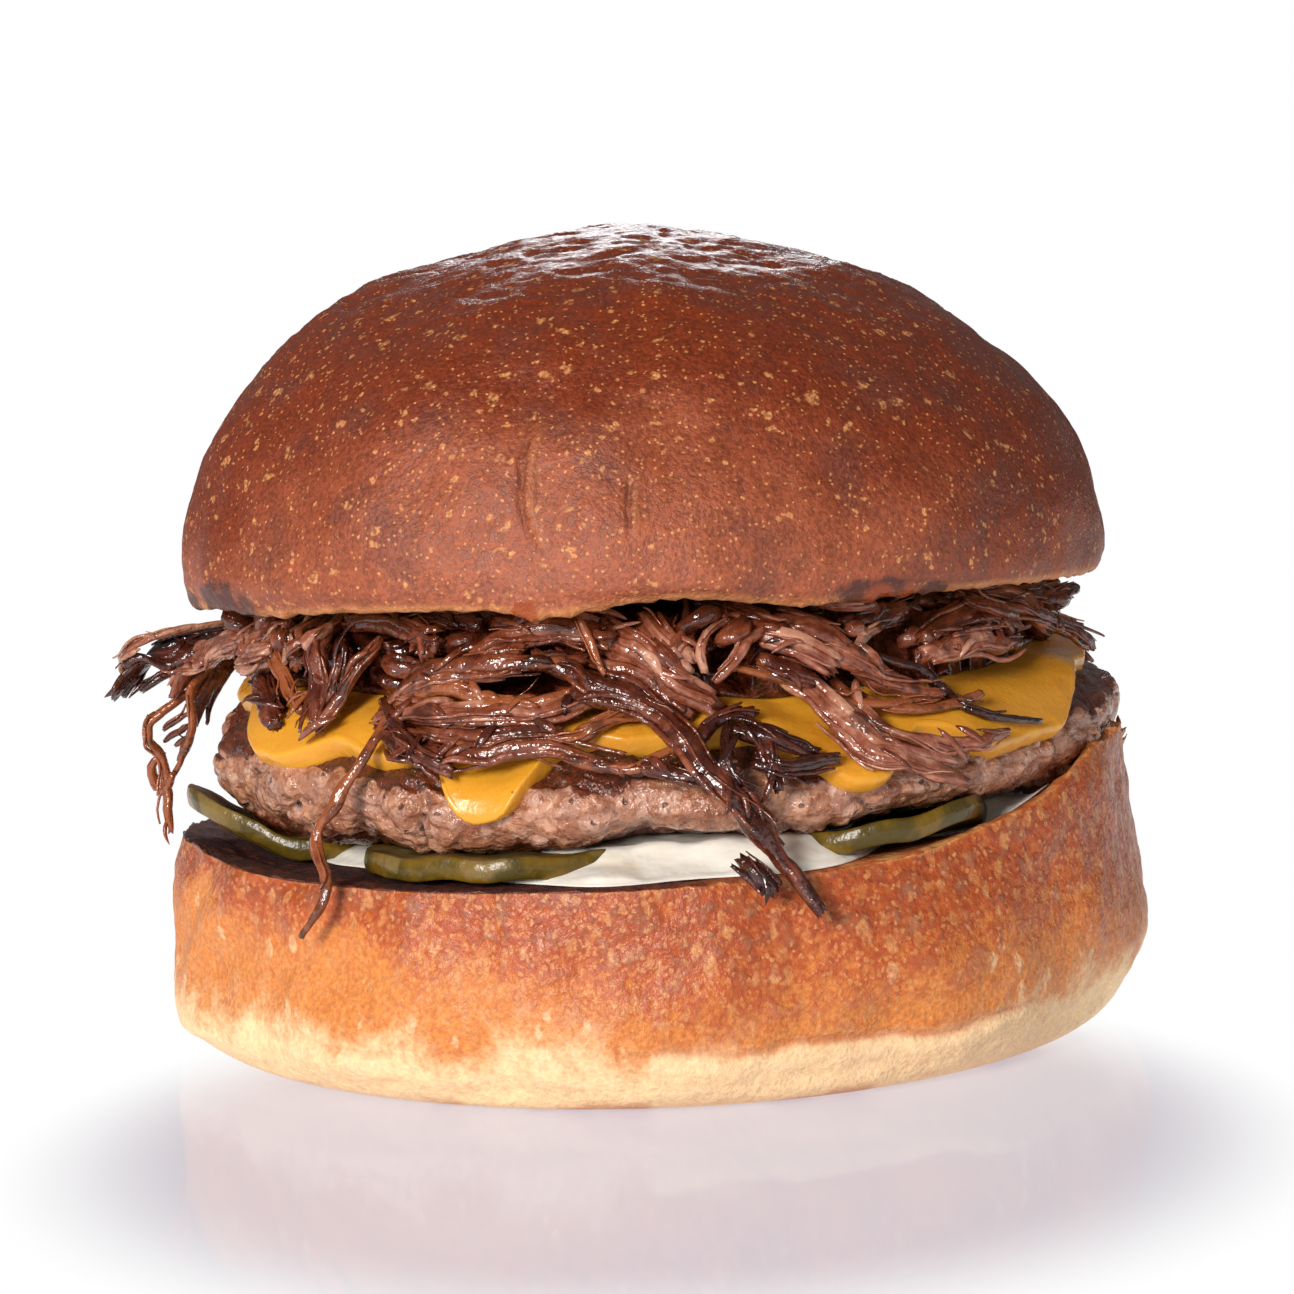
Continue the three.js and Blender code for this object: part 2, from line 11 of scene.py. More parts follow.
import bpy
import numpy as np
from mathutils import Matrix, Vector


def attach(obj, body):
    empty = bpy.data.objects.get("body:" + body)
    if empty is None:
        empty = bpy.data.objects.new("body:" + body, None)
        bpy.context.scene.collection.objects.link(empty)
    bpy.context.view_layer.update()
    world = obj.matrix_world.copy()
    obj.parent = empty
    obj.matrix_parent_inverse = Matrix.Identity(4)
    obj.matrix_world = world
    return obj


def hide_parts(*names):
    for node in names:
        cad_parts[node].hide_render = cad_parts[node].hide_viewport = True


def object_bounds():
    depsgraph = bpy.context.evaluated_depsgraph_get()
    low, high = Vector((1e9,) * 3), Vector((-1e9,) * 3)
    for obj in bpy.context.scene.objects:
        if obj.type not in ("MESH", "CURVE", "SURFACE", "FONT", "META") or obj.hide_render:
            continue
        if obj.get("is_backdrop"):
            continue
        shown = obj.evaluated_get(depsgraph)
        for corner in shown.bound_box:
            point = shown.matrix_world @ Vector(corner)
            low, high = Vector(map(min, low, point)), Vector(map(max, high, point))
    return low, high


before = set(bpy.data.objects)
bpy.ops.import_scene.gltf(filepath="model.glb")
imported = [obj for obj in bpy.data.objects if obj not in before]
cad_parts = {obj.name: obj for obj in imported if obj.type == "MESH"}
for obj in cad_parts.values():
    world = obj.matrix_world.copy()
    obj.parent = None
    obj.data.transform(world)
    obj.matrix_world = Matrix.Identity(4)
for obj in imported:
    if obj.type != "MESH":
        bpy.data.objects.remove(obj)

bl_info = {
    "name": "Short rib burger",
    "version": (1, 0, 0),
    "blender": (4, 5, 0),
    "location": "3D View > Sidebar > Burger",
    "description": "Builds a short rib burger and its studio stage",
    "category": "Add Mesh",
}

CAD_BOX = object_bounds()

MILLIMETRE = 0.001
MILLIMETRES_IN_METRE = 1000.0
NOISE_ENTRIES = 256

# ---- forms, in millimetres and degrees ----

# Rises hold an angle, a height and a spread. Spans hold the start, the end and the rings of a
# stretch of an outline, as shares of the way from the top of the axis round to its bottom.
GAP = 0.3
GOLDEN_ANGLE = 2.399963
SEEDS = {"crown": 11, "crown_burns": 12, "heel": 21, "heel_bake": 22, "heel_tear": 23}
SEEDS |= {"patty": 31, "patty_sear": 32, "cheese": 41, "cheese_edge": 42, "pickles": 50}
SEEDS |= {"sauce": 61, "sauce_lobes": 62, "heap": 71, "front": 81, "back": 82, "scraps": 83, "fibres": 84}

CROWN_COLUMNS = 440
CROWN_DOME_SHARE = 0.6
CROWN_RIM_SHARE = 0.7
CROWN_UNDER_SHARE = 0.84
CROWN_SPANS = [(0, CROWN_DOME_SHARE, 128), (CROWN_DOME_SHARE, CROWN_UNDER_SHARE, 20)]
CROWN_SPANS += [(CROWN_UNDER_SHARE, 1, 6)]
# How far in from the waist the outline is below it, at the rim, behind the rim and on the cut face.
CROWN_INSETS = (0.2, 1.2, 3.2, 9)
CROWN_WAIST_DROP = 1.3
CROWN_RIM_BACK = 0.1
CROWN_RIM_WAVES = [(-168, -0.9, 12), (-140, -0.7, 10), (-100, -0.6, 5), (-86, 0.6, 8)]
CROWN_RIM_WAVES += [(-73, -0.6, 6), (60, -0.6, 14), (140, 0.5, 12)]
# Heights over which the top's wrinkles set in.
CROWN_WRINKLED = (70, 84)
# Curved upright creases at the crown's front: how far to the side, height of the middle, bend,
# half length and half width.
CROWN_CREASES = [(-11.6, 61, 0.035, 8, 0.45), (-1.5, 59, 0.05, 3.5, 0.4)]
# Angle, height, radius and depth of small hollows in the crust.
CROWN_DENTS = [(-139.3, 64.4, 1.6, 0.8), (-93, 73.5, 5, 0.7), (-84, 69, 4.2, 0.6)]
CROWN_DENTS += [(-88, 65.5, 3.4, 0.45), (-78, 62, 3, 0.4), (-107, 70, 3.5, 0.4)]
CROWN_DENTS += [(95, 70, 5, 0.7), (20, 74, 4, 0.5), (-166, 75, 4, 0.5)]
# Angle, width and height of burnt patches along the rim.
CROWN_BURNS = [(-148, 9, 3.4), (-163, 5, 2.4), (-64.5, 6.5, 2.1), (-57, 3, 1.6)]
CROWN_BURNS += [(35, 9, 2.6), (110, 7, 2.4)]
# Rises of the juice and melted fat that cling to the rim.
CROWN_OOZES = [(-103, 1, 1.6), (-98.5, 0.5, 0.9), (-64, 0.8, 2.2), (-60, 0.6, 1.2), (70, 1, 2)]
CROWN_OOZE_HEIGHT = 1.5

HEEL_COLUMNS = 440
HEEL_LIPS = [(-165, 1.9, 34), (-49, 0.8, 12), (-20, 8.2, 22), (60, 1.2, 20), (120, 0.9, 18)]
HEEL_LIP_START = 45
HEEL_CUT_RINGS = [0, 0.5, 0.84, 0.93, 0.985]
HEEL_CUT_SLOPE = 0.03
HEEL_OUTLINE_STEPS = len(HEEL_CUT_RINGS) + 6
HEEL_EDGE_SHARE = (len(HEEL_CUT_RINGS) - 0.5) / HEEL_OUTLINE_STEPS
HEEL_FOOT_SHARE = (HEEL_OUTLINE_STEPS - 2) / HEEL_OUTLINE_STEPS
HEEL_SPANS = [(0, 0.2, 6), (0.2, HEEL_EDGE_SHARE - 0.04, 22)]
HEEL_SPANS += [(HEEL_EDGE_SHARE - 0.04, HEEL_EDGE_SHARE + 0.05, 22)]
HEEL_SPANS += [(HEEL_EDGE_SHARE + 0.05, HEEL_FOOT_SHARE, 90), (HEEL_FOOT_SHARE, 1, 8)]
# Angle, slant, width and depth of soft folds that run down the heel from a height.
HEEL_FOLDS = [(-136, -1.25, 4, 0.8), (-152, -0.8, 2.6, 0.45), (-122, -1.4, 2.2, 0.3), (140, 1, 3.5, 0.6)]
HEEL_FOLD_TOP = 21
# Where the lip is torn, the low crease shows, the crust is browned and scorched, and the pale
# foot reaches higher or fades softly.
HEEL_TORN = [(-14, 1, 17)]
HEEL_CREASED = [(-60, 1, 30), (120, 1, 30)]
HEEL_CREASE_HEIGHT = 6.4
HEEL_BROWNED = [(-88, 1, 34), (-45, 0.6, 30), (-12, 1.9, 28), (40, 0.7, 30), (110, 0.8, 32)]
HEEL_SCORCHED = [(-150, 1, 34), (-105, 0.9, 20), (60, 0.8, 25), (150, 0.7, 30)]
HEEL_PALE_HIGHER = [(-15, 1.8, 30), (-140, 2.4, 36)]
HEEL_PALE_SOFTLY = [(-150, 1, 40)]

PATTY_COLUMNS = 520
PATTY_SPANS = [(0, 0.2, 6), (0.2, 0.36, 22), (0.36, 0.84, 106), (0.84, 1, 6)]
PATTY_REACH_RIGHT = 1.8
PATTY_WAIST_RISES = [(180, 3.5, 45), (0, 6.0, 40), (90, 1.0, 60)]
PATTY_PROFILE = [[0, 1], [0.4, 0.97], [0.7, 0.78], [0.88, 0.5], [0.965, 0.24]]
PATTY_PROFILE += [[1, 0], [0.975, -0.55], [0.9, -0.93], [0.75, -1], [0, -1]]
PATTY_WAIST_SHARE = 5 / (len(PATTY_PROFILE) - 1)
PATTY_BOTTOM_SLOPE = 0.04
PATTY_CRAG = 0.5
PATTY_CRAG_WAVELENGTH = 13
PATTY_CRAG_FADES_FROM = 0.8
# Sizes of the mince's lumps and of the crumbs on them.
MINCE_LUMP = 5.6
MINCE_CRUMB = 2.5
# Where the seared crust reaches further down the side, as rises of a share.
PATTY_SEARED_DEEPER = [(-166, 1, 16), (-5, 1, 20), (80, 1, 30)]

CHEESE_COLUMNS = 400
CHEESE_SPANS = [(0, 0.25, 8), (0.25, 0.45, 26), (0.45, 0.5, 14), (0.5, 0.6, 6), (0.6, 1, 6)]
CHEESE_EDGE = 0.385
CHEESE_DRIPS = [(-143, 0.13, 9), (-124, 0.07, 6), (-109, 0.21, 5.5), (-67, 0.16, 5.5), (-43, 0.14, 13)]
CHEESE_DRIPS += [(22, 0.07, 9), (46, 0.14, 11), (78, 0.13, 6), (104, 0.18, 6), (137, 0.14, 11)]
CHEESE_DRIPS += [(168, 0.1, 8)]
# How deep the slice sinks into the patty, and how thick the bead along its edge is.
CHEESE_SUNK = 0.2
CHEESE_BEAD = 0.35
CHEESE_UNDERSIDE = -0.7

PICKLE_COLUMNS = 110
PICKLE_SPANS = [(0, 0.35, 6), (0.35, 0.5, 12), (0.5, 0.65, 12), (0.65, 1, 6)]
# Each chip's angle, distance from the axis and how far its outer end curls up.
PICKLES = {
    "pickle_left": (-163, 38.5, 4.4),
    "pickle_front": (-113, 37.8, 0.6),
    "pickle_right": (-58, 38.4, 1.4),
    "pickle_back_right": (62, 37, 0.8),
    "pickle_back_left": (128, 37.5, 1),
}
PICKLE_CURL_START = 43
PICKLE_CURL_RUN = 14
PICKLE_WALL = 0.82
PICKLE_ROUND = 0.5
PICKLE_RIDGE = 0.16
PICKLE_RIDGE_PITCH = 7.5

SAUCE_COLUMNS = 300
SAUCE_SPANS = [(0, 0.25, 6), (0.25, 0.42, 20), (0.42, 0.5, 20), (0.5, 0.6, 6), (0.6, 1, 4)]
SAUCE_LOBES = [(-92, 9.4, 19), (-70, 6.6, 9), (-37, 8.2, 9), (20, 4, 16), (95, 8.4, 13), (165, 4, 14)]
# The least thickness of the sauce, and how far under the patty it stays.
SAUCE_LEAST = 0.8
SAUCE_CLEAR = 0.2

HEAP_COLUMNS = 300
HEAP_TOP_SHARE = 0.55
HEAP_SPANS = [(0, 0.4, 10), (0.4, HEAP_TOP_SHARE, 26), (HEAP_TOP_SHARE, 0.62, 12), (0.62, 1, 8)]
HEAP_LOBES = [(180, 3, 30), (-120, -1.5, 20), (-30, 3, 25), (60, 2, 20)]
HEAP_EDGE_DROP = 2.9

LOOSE_STRANDS = 34
LYING_STRANDS = 40
SCRAPS = 170
BACK_TONES = ["dark", "maroon", "brown", "rose", "rose", "pale", "amber", "brown"]
# A strand has a ring at each step along it.
STRAND_STEP = 0.65
# How many points of the patty's and the heel's outline strands look for a seat at.
SEAT_RINGS = 73
# A height that nothing of the burger reaches.
FAR_UP = 99.0

# The photo's width, the focal length, and how far above the middle the horizon stands, in the
# photo's pixels.
PHOTO_PIXELS = 1294
CAMERA_FOCAL_PIXELS = 2618
CAMERA_HORIZON_PIXELS = 206
CAMERA_ROLL = 2.0
# Each lamp's place, aim and size in metres, and its colour.
LAMPS = {
    "key": ((-0.42, -0.86, 0.34), (0, 0, 0.045), (0.26, 0.3), (1, 0.97, 0.93)),
    "fill": ((0.62, -0.66, 0.24), (0, 0, 0.045), (0.4, 0.5), (0.95, 0.97, 1)),
    "top": ((0.01, 0.62, 0.36), (0, 0.02, 0.08), (0.19, 0.07), (0.95, 0.97, 1)),
}

# How light each kind of meat is, and how much amber fat it holds.
TONES = {
    "char": (0.06, 0.0),
    "dark": (0.26, 0.1),
    "maroon": (0.38, 0.1),
    "brown": (0.52, 0.25),
    "rose": (0.72, 0.0),
    "pale": (0.95, 0.15),
    "amber": (0.6, 0.9),
}

# Strands that show best: tone, width, thickness and route. A route's points are an angle, a
# distance from the axis and a height.
STRANDS = [
    # Out past the left side.
    ("pale", 1.9, 0.9, [
        [170, 40, 46], [175, 50, 45.6], [178, 57, 44.4], [177, 60.9, 42.2], [175, 61.2, 39.4],
    ]),
    ("char", 5.0, 1.5, [[172, 42, 45], [175, 52, 43.3], [176, 59, 41.2], [177, 62, 37.8]]),
    ("char", 2.6, 1.2, [[174, 51, 42], [175, 55, 40.3], [175, 59.2, 38]]),
    ("rose", 3.2, 1.8, [[-150, 43.8, 46.5], [-165, 46.5, 44.6], [-182, 52.3, 41.4], [-184, 55.6, 37.4]]),
    ("amber", 1.4, 1.2, [
        [172, 50, 40], [175, 57.2, 35.4], [175, 58.8, 32.5], [173, 57.6, 28], [173, 57.5, 20.8],
    ]),
    ("amber", 1.3, 1.1, [
        [174, 50, 41], [176, 53.4, 38], [176, 53.4, 34], [174, 55, 30.2], [173, 56.8, 27.4],
    ]),
    ("amber", 1.3, 1.2, [
        [173, 58, 30.3], [173, 59.4, 28.3], [172, 59, 25.8], [173, 57.4, 26.4], [174, 56.4, 28],
    ]),
    ("brown", 0.8, 0.7, [[174, 57.4, 33.2], [175, 54, 35.2]]),
    ("brown", 0.8, 0.7, [[174, 57.3, 31.6], [175, 54, 33.8]]),
    ("brown", 0.7, 0.7, [[174, 56, 31], [175, 53.9, 32.6]]),
    ("maroon", 2.8, 2.0, [[166, 40, 44], [170, 48, 43], [173, 52, 38], [174, 53.6, 34]]),
    # At the front left.
    ("dark", 3.0, 2.2, [[-178, 40, 45], [-162, 43, 43], [-150, 47, 40], [-142, 49, 37]]),
    ("pale", 4.8, 3.4, [[-161, 45, 42.2], [-155, 46.4, 42.6], [-148, 45.8, 43.4]]),
    ("pale", 3.4, 2.4, [[-148, 42, 46], [-146, 44.5, 45], [-143, 45.8, 43.2]]),
    ("amber", 2.0, 1.6, [[-154, 45.1, 45.3], [-146, 46.6, 42.6], [-142, 46.8, 40], [-138, 48, 38.4]]),
    ("maroon", 2.8, 2.2, [[-138, 42, 48], [-138, 45.4, 45], [-136, 46.6, 41.2], [-134, 48.6, 37.2]]),
    ("brown", 1.9, 1.7, [[-128, 44, 45.8], [-130, 46.5, 42.4], [-132, 47.4, 39.6], [-134, 49.2, 37]]),
    ("dark", 1.8, 1.6, [[-133, 45.2, 45.4], [-133, 46.5, 42.2], [-134, 47.2, 39.4]]),
    ("dark", 2.4, 2.0, [[-125, 43, 46.4], [-121, 42, 47.6], [-112, 44, 47.4]]),
    ("dark", 2.6, 2.0, [[-142, 41, 47], [-134, 43, 47.4], [-125, 43.8, 46.8], [-117, 45, 45.4]]),
    ("rose", 2.6, 2.0, [[-124, 42, 47.6], [-120, 44.2, 46], [-119, 45, 44.4]]),
    # Across the front.
    ("brown", 3.2, 2.4, [[-112, 45.6, 44.8], [-107, 44.6, 46.2], [-101, 43.6, 47], [-94, 44.6, 45.8]]),
    ("brown", 2.6, 2.0, [
        [-125, 46.4, 38.6], [-120, 46.8, 41.9], [-114, 46.6, 43.4], [-106, 46.4, 43.6], [-98, 45, 44],
    ]),
    ("rose", 2.0, 1.6, [[-125, 46.6, 38], [-121, 46.9, 40.6], [-115, 46.9, 42.2], [-108, 46.6, 42.6]]),
    ("amber", 1.8, 1.7, [
        [-123, 47.1, 38], [-121, 47, 40.2], [-115, 47, 41.3], [-110, 47.6, 40.2], [-104, 47.8, 39.8],
        [-98, 46.6, 41.2],
    ]),
    ("rose", 2.6, 2.2, [
        [-125, 47, 38], [-119, 48.2, 39], [-112, 48.6, 38.8], [-104, 48, 39], [-97, 46.4, 39.8],
    ]),
    ("brown", 1.8, 1.5, [[-122, 49, 37.2], [-115, 49.6, 37], [-108, 49.8, 36.8], [-100, 49, 37.6]]),
    ("maroon", 2.8, 2.0, [[-124, 48, 37.4], [-119, 50.2, 35.8], [-115, 51, 34.8], [-112, 51.8, 33.6]]),
    ("brown", 2.2, 1.7, [
        [-113, 51, 34.6], [-108, 50.9, 35.4], [-103, 50.4, 36], [-97, 51, 34.6], [-93, 52, 33.4],
    ]),
    ("amber", 1.7, 1.5, [[-101, 49.6, 36.4], [-97, 49.2, 37], [-94, 47.8, 38.4], [-90, 46.4, 39]]),
    ("amber", 1.1, 1.0, [[-97, 51, 34.4], [-92, 52, 33.8], [-87, 51.2, 35.6]]),
    # Hanging and slanting down the front.
    ("amber", 1.3, 1.1, [
        [-122, 44, 42], [-123, 50, 36.6], [-126, 53, 30.8], [-128, 54, 27], [-125, 56.2, 21.8],
        [-128, 56.8, 17.6],
    ]),
    ("maroon", 3.0, 2.6, [
        [-104, 45, 44.2], [-97, 46.8, 41.8], [-90, 48.2, 39], [-84, 53.2, 33], [-80, 54.4, 28.4],
        [-74, 57, 20],
    ]),
    ("dark", 2.2, 1.8, [
        [-101, 46.6, 40.8], [-95, 47.6, 40], [-89, 48.8, 38.6], [-85, 51.8, 34.6], [-83, 53, 32],
    ]),
    ("rose", 4.2, 2.8, [[-96, 42, 47], [-91, 45.4, 44.6], [-87, 46.9, 41.8], [-82, 47.8, 38.6]]),
    ("amber", 0.9, 0.8, [[-98, 46.4, 48], [-97, 46.2, 45.8], [-95, 47.4, 42.6]]),
    ("pale", 1.1, 1.0, [
        [-83, 46.8, 42.4], [-83.5, 46.4, 45], [-81, 44.6, 47.2], [-78, 44, 47.4], [-78.5, 46, 45.2],
        [-80, 46.8, 42.6],
    ]),
    ("pale", 1.1, 0.9, [[-82, 47.2, 41.6], [-79, 46.8, 44], [-76, 45.4, 46], [-70, 44.4, 46.6]]),
    # From there to the right.
    ("rose", 3.4, 2.8, [[-90, 42.6, 47.4], [-88, 44.8, 45.8], [-85, 46.2, 43.4]]),
    ("maroon", 3.0, 2.4, [[-84, 42.6, 47.3], [-86, 45.2, 45.2], [-88, 46.4, 43]]),
    ("rose", 3.4, 2.8, [[-75, 44.6, 45.6], [-71, 45.9, 44.2], [-67, 46.6, 42.2]]),
    ("rose", 3.0, 2.4, [[-73, 43.4, 46.8], [-69, 44.6, 46], [-65, 46, 44]]),
    ("maroon", 2.4, 2.0, [[-76, 46, 43.4], [-72, 46.8, 41.6], [-69, 47, 40.2]]),
    ("rose", 2.8, 2.2, [[-73, 44.6, 45.4], [-65, 46.6, 42.6], [-60, 47.2, 40.4], [-54, 49.4, 38.4]]),
    ("amber", 1.2, 1.1, [
        [-80, 46.3, 42.8], [-74, 47, 41.4], [-69, 47.4, 39.6], [-65, 49, 38.6], [-60, 49.6, 38.4],
        [-54, 49, 38.6],
    ]),
    ("rose", 3.8, 2.2, [
        [-73, 45, 42], [-69, 48.8, 38.4], [-66, 52.6, 34.6], [-62, 54.2, 32.8], [-56.5, 54.8, 31],
    ]),
    ("rose", 2.0, 1.7, [
        [-66, 45.6, 40.6], [-64, 50.6, 36.8], [-60, 53, 34.8], [-55, 53.8, 34.2], [-49, 53.8, 34.6],
    ]),
    ("char", 1.1, 1.1, [
        [-61, 45.8, 43], [-55, 47, 41.6], [-52.5, 48, 39.4], [-51, 51.2, 37], [-47, 52.8, 35.8],
        [-42, 53.4, 35.4],
    ]),
    ("amber", 1.3, 1.1, [[-64, 46.9, 39.4], [-60, 50, 37.8], [-53, 50.4, 37.8], [-48, 50, 38.4]]),
    ("brown", 3.8, 2.8, [[-52, 45.6, 43.8], [-44, 44.6, 46], [-37, 44.8, 45.9], [-34, 46.2, 44]]),
    ("rose", 3.2, 2.2, [[-53, 46.4, 42.6], [-45, 46.8, 43.2], [-37, 47, 42.6]]),
    ("maroon", 2.4, 1.6, [[-38, 43.5, 47.2], [-34.5, 45.4, 44.8], [-35.5, 47, 42]]),
    ("dark", 3.2, 2.0, [[-48, 41, 47.6], [-36, 45, 46.4], [-25, 48.4, 43.8], [-18, 50.6, 41.4]]),
    ("maroon", 2.6, 0.9, [[-30, 43, 47.4], [-22, 45.4, 47.2], [-12, 48.4, 46.4]]),
    ("maroon", 1.6, 0.8, [[-28, 44.4, 46.6], [-20, 46.6, 46.8], [-13, 49, 47.2]]),
    ("dark", 2.4, 1.8, [[-64, 44.6, 46], [-58, 44.2, 46.8], [-50, 43.4, 47]]),
    ("pale", 0.9, 0.7, [[-64, 46.4, 43.4], [-62, 46, 44.6], [-59, 45.4, 45.6]]),
    # Burnt scraps at the front.
    ("char", 1.9, 1.6, [[-81, 49.4, 37.4], [-82, 52.6, 34.2], [-81, 54, 31]]),
    ("dark", 1.8, 1.5, [[-79, 48.4, 38], [-77.5, 51.8, 35], [-77, 54, 31.6]]),
    ("char", 2.4, 1.8, [[-81, 49.8, 37], [-77, 51, 36.2], [-72, 52, 34.6]]),
    ("char", 2.2, 1.7, [[-79, 52.4, 34], [-75, 53.2, 33.6], [-70, 53, 34]]),
    ("dark", 1.6, 1.4, [[-85, 50.8, 36], [-82, 49, 37.8], [-78, 48, 38.4]]),
    ("dark", 2.2, 1.7, [[-86, 52, 34.2], [-82, 53.8, 31.8], [-78, 54, 28.6]]),
    ("dark", 2.0, 1.6, [[-91, 52.2, 34], [-86, 53, 33], [-81, 53.2, 33.2]]),
    ("char", 2.2, 1.8, [[-81.5, 55, 25.4], [-80, 56, 23.6], [-78.5, 56.4, 22.2]]),
    # One more at the front left, the right and the left.
    ("dark", 1.8, 1.5, [[-124, 47, 40], [-118, 51, 36.4], [-113, 52, 34.2]]),
    ("brown", 3.2, 2.2, [[-50, 35, 46], [-40, 41, 47], [-32, 45, 47], [-29, 48, 44]]),
    ("rose", 3.2, 2.2, [[176, 40, 46], [-166, 45, 44.4], [-157, 46, 43.4]]),
]


def mm(metres):
    """Millimetres from metres."""
    return metres * MILLIMETRES_IN_METRE


def polar(deg, radius, height):
    """Points from angles, distances from the axis and heights."""
    turn = np.radians(deg)
    return np.stack(np.broadcast_arrays(radius * np.cos(turn), radius * np.sin(turn), height), -1)


def flattened(points):
    """Distances from the axis and heights of points."""
    return np.stack([np.hypot(points[..., 0], points[..., 1]), points[..., 2]], -1)


def turn_between(deg, at):
    """The turn from one angle to others, from -180 to 180."""
    return (np.asarray(deg) - at + 180) % 360 - 180


def bell(off, wide):
    """1 in the middle, and falling to nothing on both sides."""
    return np.exp(-((off / wide) ** 2))


def rises(deg, rows):
    """Sum of smooth rises, each with an angle, a height and a spread."""
    return sum(by * bell(turn_between(deg, at), spread) for at, by, spread in rows)


def mix(a, b, share):
    """The value at a share of the way from a to b."""
    return a + (b - a) * share


def ease(low, high, value):
    """0 below low and 1 above high, and smooth between."""
    share = np.clip((np.asarray(value, float) - low) / (high - low), 0, 1)
    return share * share * (3 - 2 * share)


def between(start, full, fade, end, value):
    """Sets in from start to full and fades out from fade to end."""
    return ease(start, full, value) * (1 - ease(fade, end, value))


def rounded(start, way):
    """1, and from start to 1 on the way falling to 0 as a round edge does."""
    return np.sqrt(np.clip(1 - ease(start, 1.0, way) ** 2, 0, 1))


def relief(points, wavelength, waves=9):
    """Smooth uneven relief from plane waves, the same as on the solids."""
    turn = np.arange(waves) * GOLDEN_ANGLE
    height = 1 - (2 * np.arange(waves) + 1) / waves
    flat = np.sqrt(1 - height * height)
    ways = np.stack([flat * np.cos(turn), flat * np.sin(turn), height])
    phases = 2 * np.pi / wavelength * (points @ ways) + 1.7 * np.arange(waves)
    return np.sin(phases).sum(-1) / math.sqrt(waves)


def spline(points, shares):
    """A smooth curve through points, at shares of the way along. Points run along the first axis."""
    points = np.asarray(points, float)
    last = len(points) - 1
    along = np.clip(np.asarray(shares, float), 0, 1) * last
    at = np.clip(along.astype(int), 0, last - 1)
    way = (along - at).reshape(along.shape + (1,) * (points.ndim - 1))
    a, b, c, d = (points[np.clip(at + step, 0, last)] for step in (-1, 0, 1, 2))
    bend = (2 * a - 5 * b + 4 * c - d) * way**2 + (3 * b - a - 3 * c + d) * way**3
    return b + 0.5 * ((c - a) * way + bend)


def unit(vectors):
    """Vectors of length 1 along the given ones."""
    return vectors / np.maximum(np.linalg.norm(vectors, axis=-1, keepdims=True), 1e-9)


class Noise:
    """Smooth uneven values in space, alike each time for the same seed."""

    def __init__(self, seed):
        draw = np.random.default_rng(seed)
        self.order = draw.permutation(NOISE_ENTRIES)
        self.slopes = unit(draw.normal(size=(NOISE_ENTRIES, 3)))
        self.spots = draw.random((NOISE_ENTRIES, 3))

    def pick(self, cell):
        """The number of the entry for each cell, as if by chance."""
        entry = 0
        for axis in range(3):
            entry = self.order[(entry + cell[..., axis]) % NOISE_ENTRIES]
        return entry

    def at(self, points, size):
        """Between about -1 and 1, with lumps of about the given size."""
        place = np.asarray(points, float) / size
        corner = np.floor(place).astype(int)
        inside = place - corner
        way = inside**3 * (inside * (inside * 6 - 15) + 10)
        total = np.zeros(place.shape[:-1])
        for step in np.ndindex(2, 2, 2):
            slope = self.slopes[self.pick(corner + step)]
            weight = np.prod(np.where(step, way, 1 - way), axis=-1)
            total += weight * np.sum(slope * (inside - step), axis=-1)
        return total * 1.6

    def layered(self, points, size, layers=3, keep=0.5):
        """Lumps that bear ever finer ones, each half the size of those before and less high."""
        return sum(keep**i * self.at(points, size / 2**i) for i in range(layers))

    def shift(self, points, size, apart):
        """Three uneven values at each point, read at places apart, to push it about by."""
        return np.stack([self.at(points + apart * i, size) for i in range(3)], -1)

    def cells(self, points, size):
        """For each point the distance to the nearest and to the second seed of a cell, in cell
        sizes, and that nearest cell's own number from 0 to 1."""
        place = np.asarray(points, float) / size
        corner = np.floor(place).astype(int)
        first = np.full(place.shape[:-1], 9.0)
        second = first.copy()
        number = first.copy()
        for step in np.ndindex(3, 3, 3):
            cell = corner + np.array(step) - 1
            pick = self.pick(cell)
            away = np.linalg.norm(cell + self.spots[pick] - place, axis=-1)
            second = np.minimum(second, np.maximum(first, away))
            number = np.where(away < first, pick / (NOISE_ENTRIES - 1), number)
            first = np.minimum(first, away)
        return first, second, number


# ---- meshes ----


def shares_of(spans):
    """Shares of the way down a body, from spans of (start, end, rings)."""
    rows = [np.linspace(start, end, rings, endpoint=False) for start, end, rings in spans]
    return np.append(np.concatenate(rows), spans[-1][1])


def way_out(shares):
    """The way out from the axis over a flat body's top, and back in below, from 0 to 1."""
    return np.minimum(shares, 1 - shares)[:, None] / 0.5


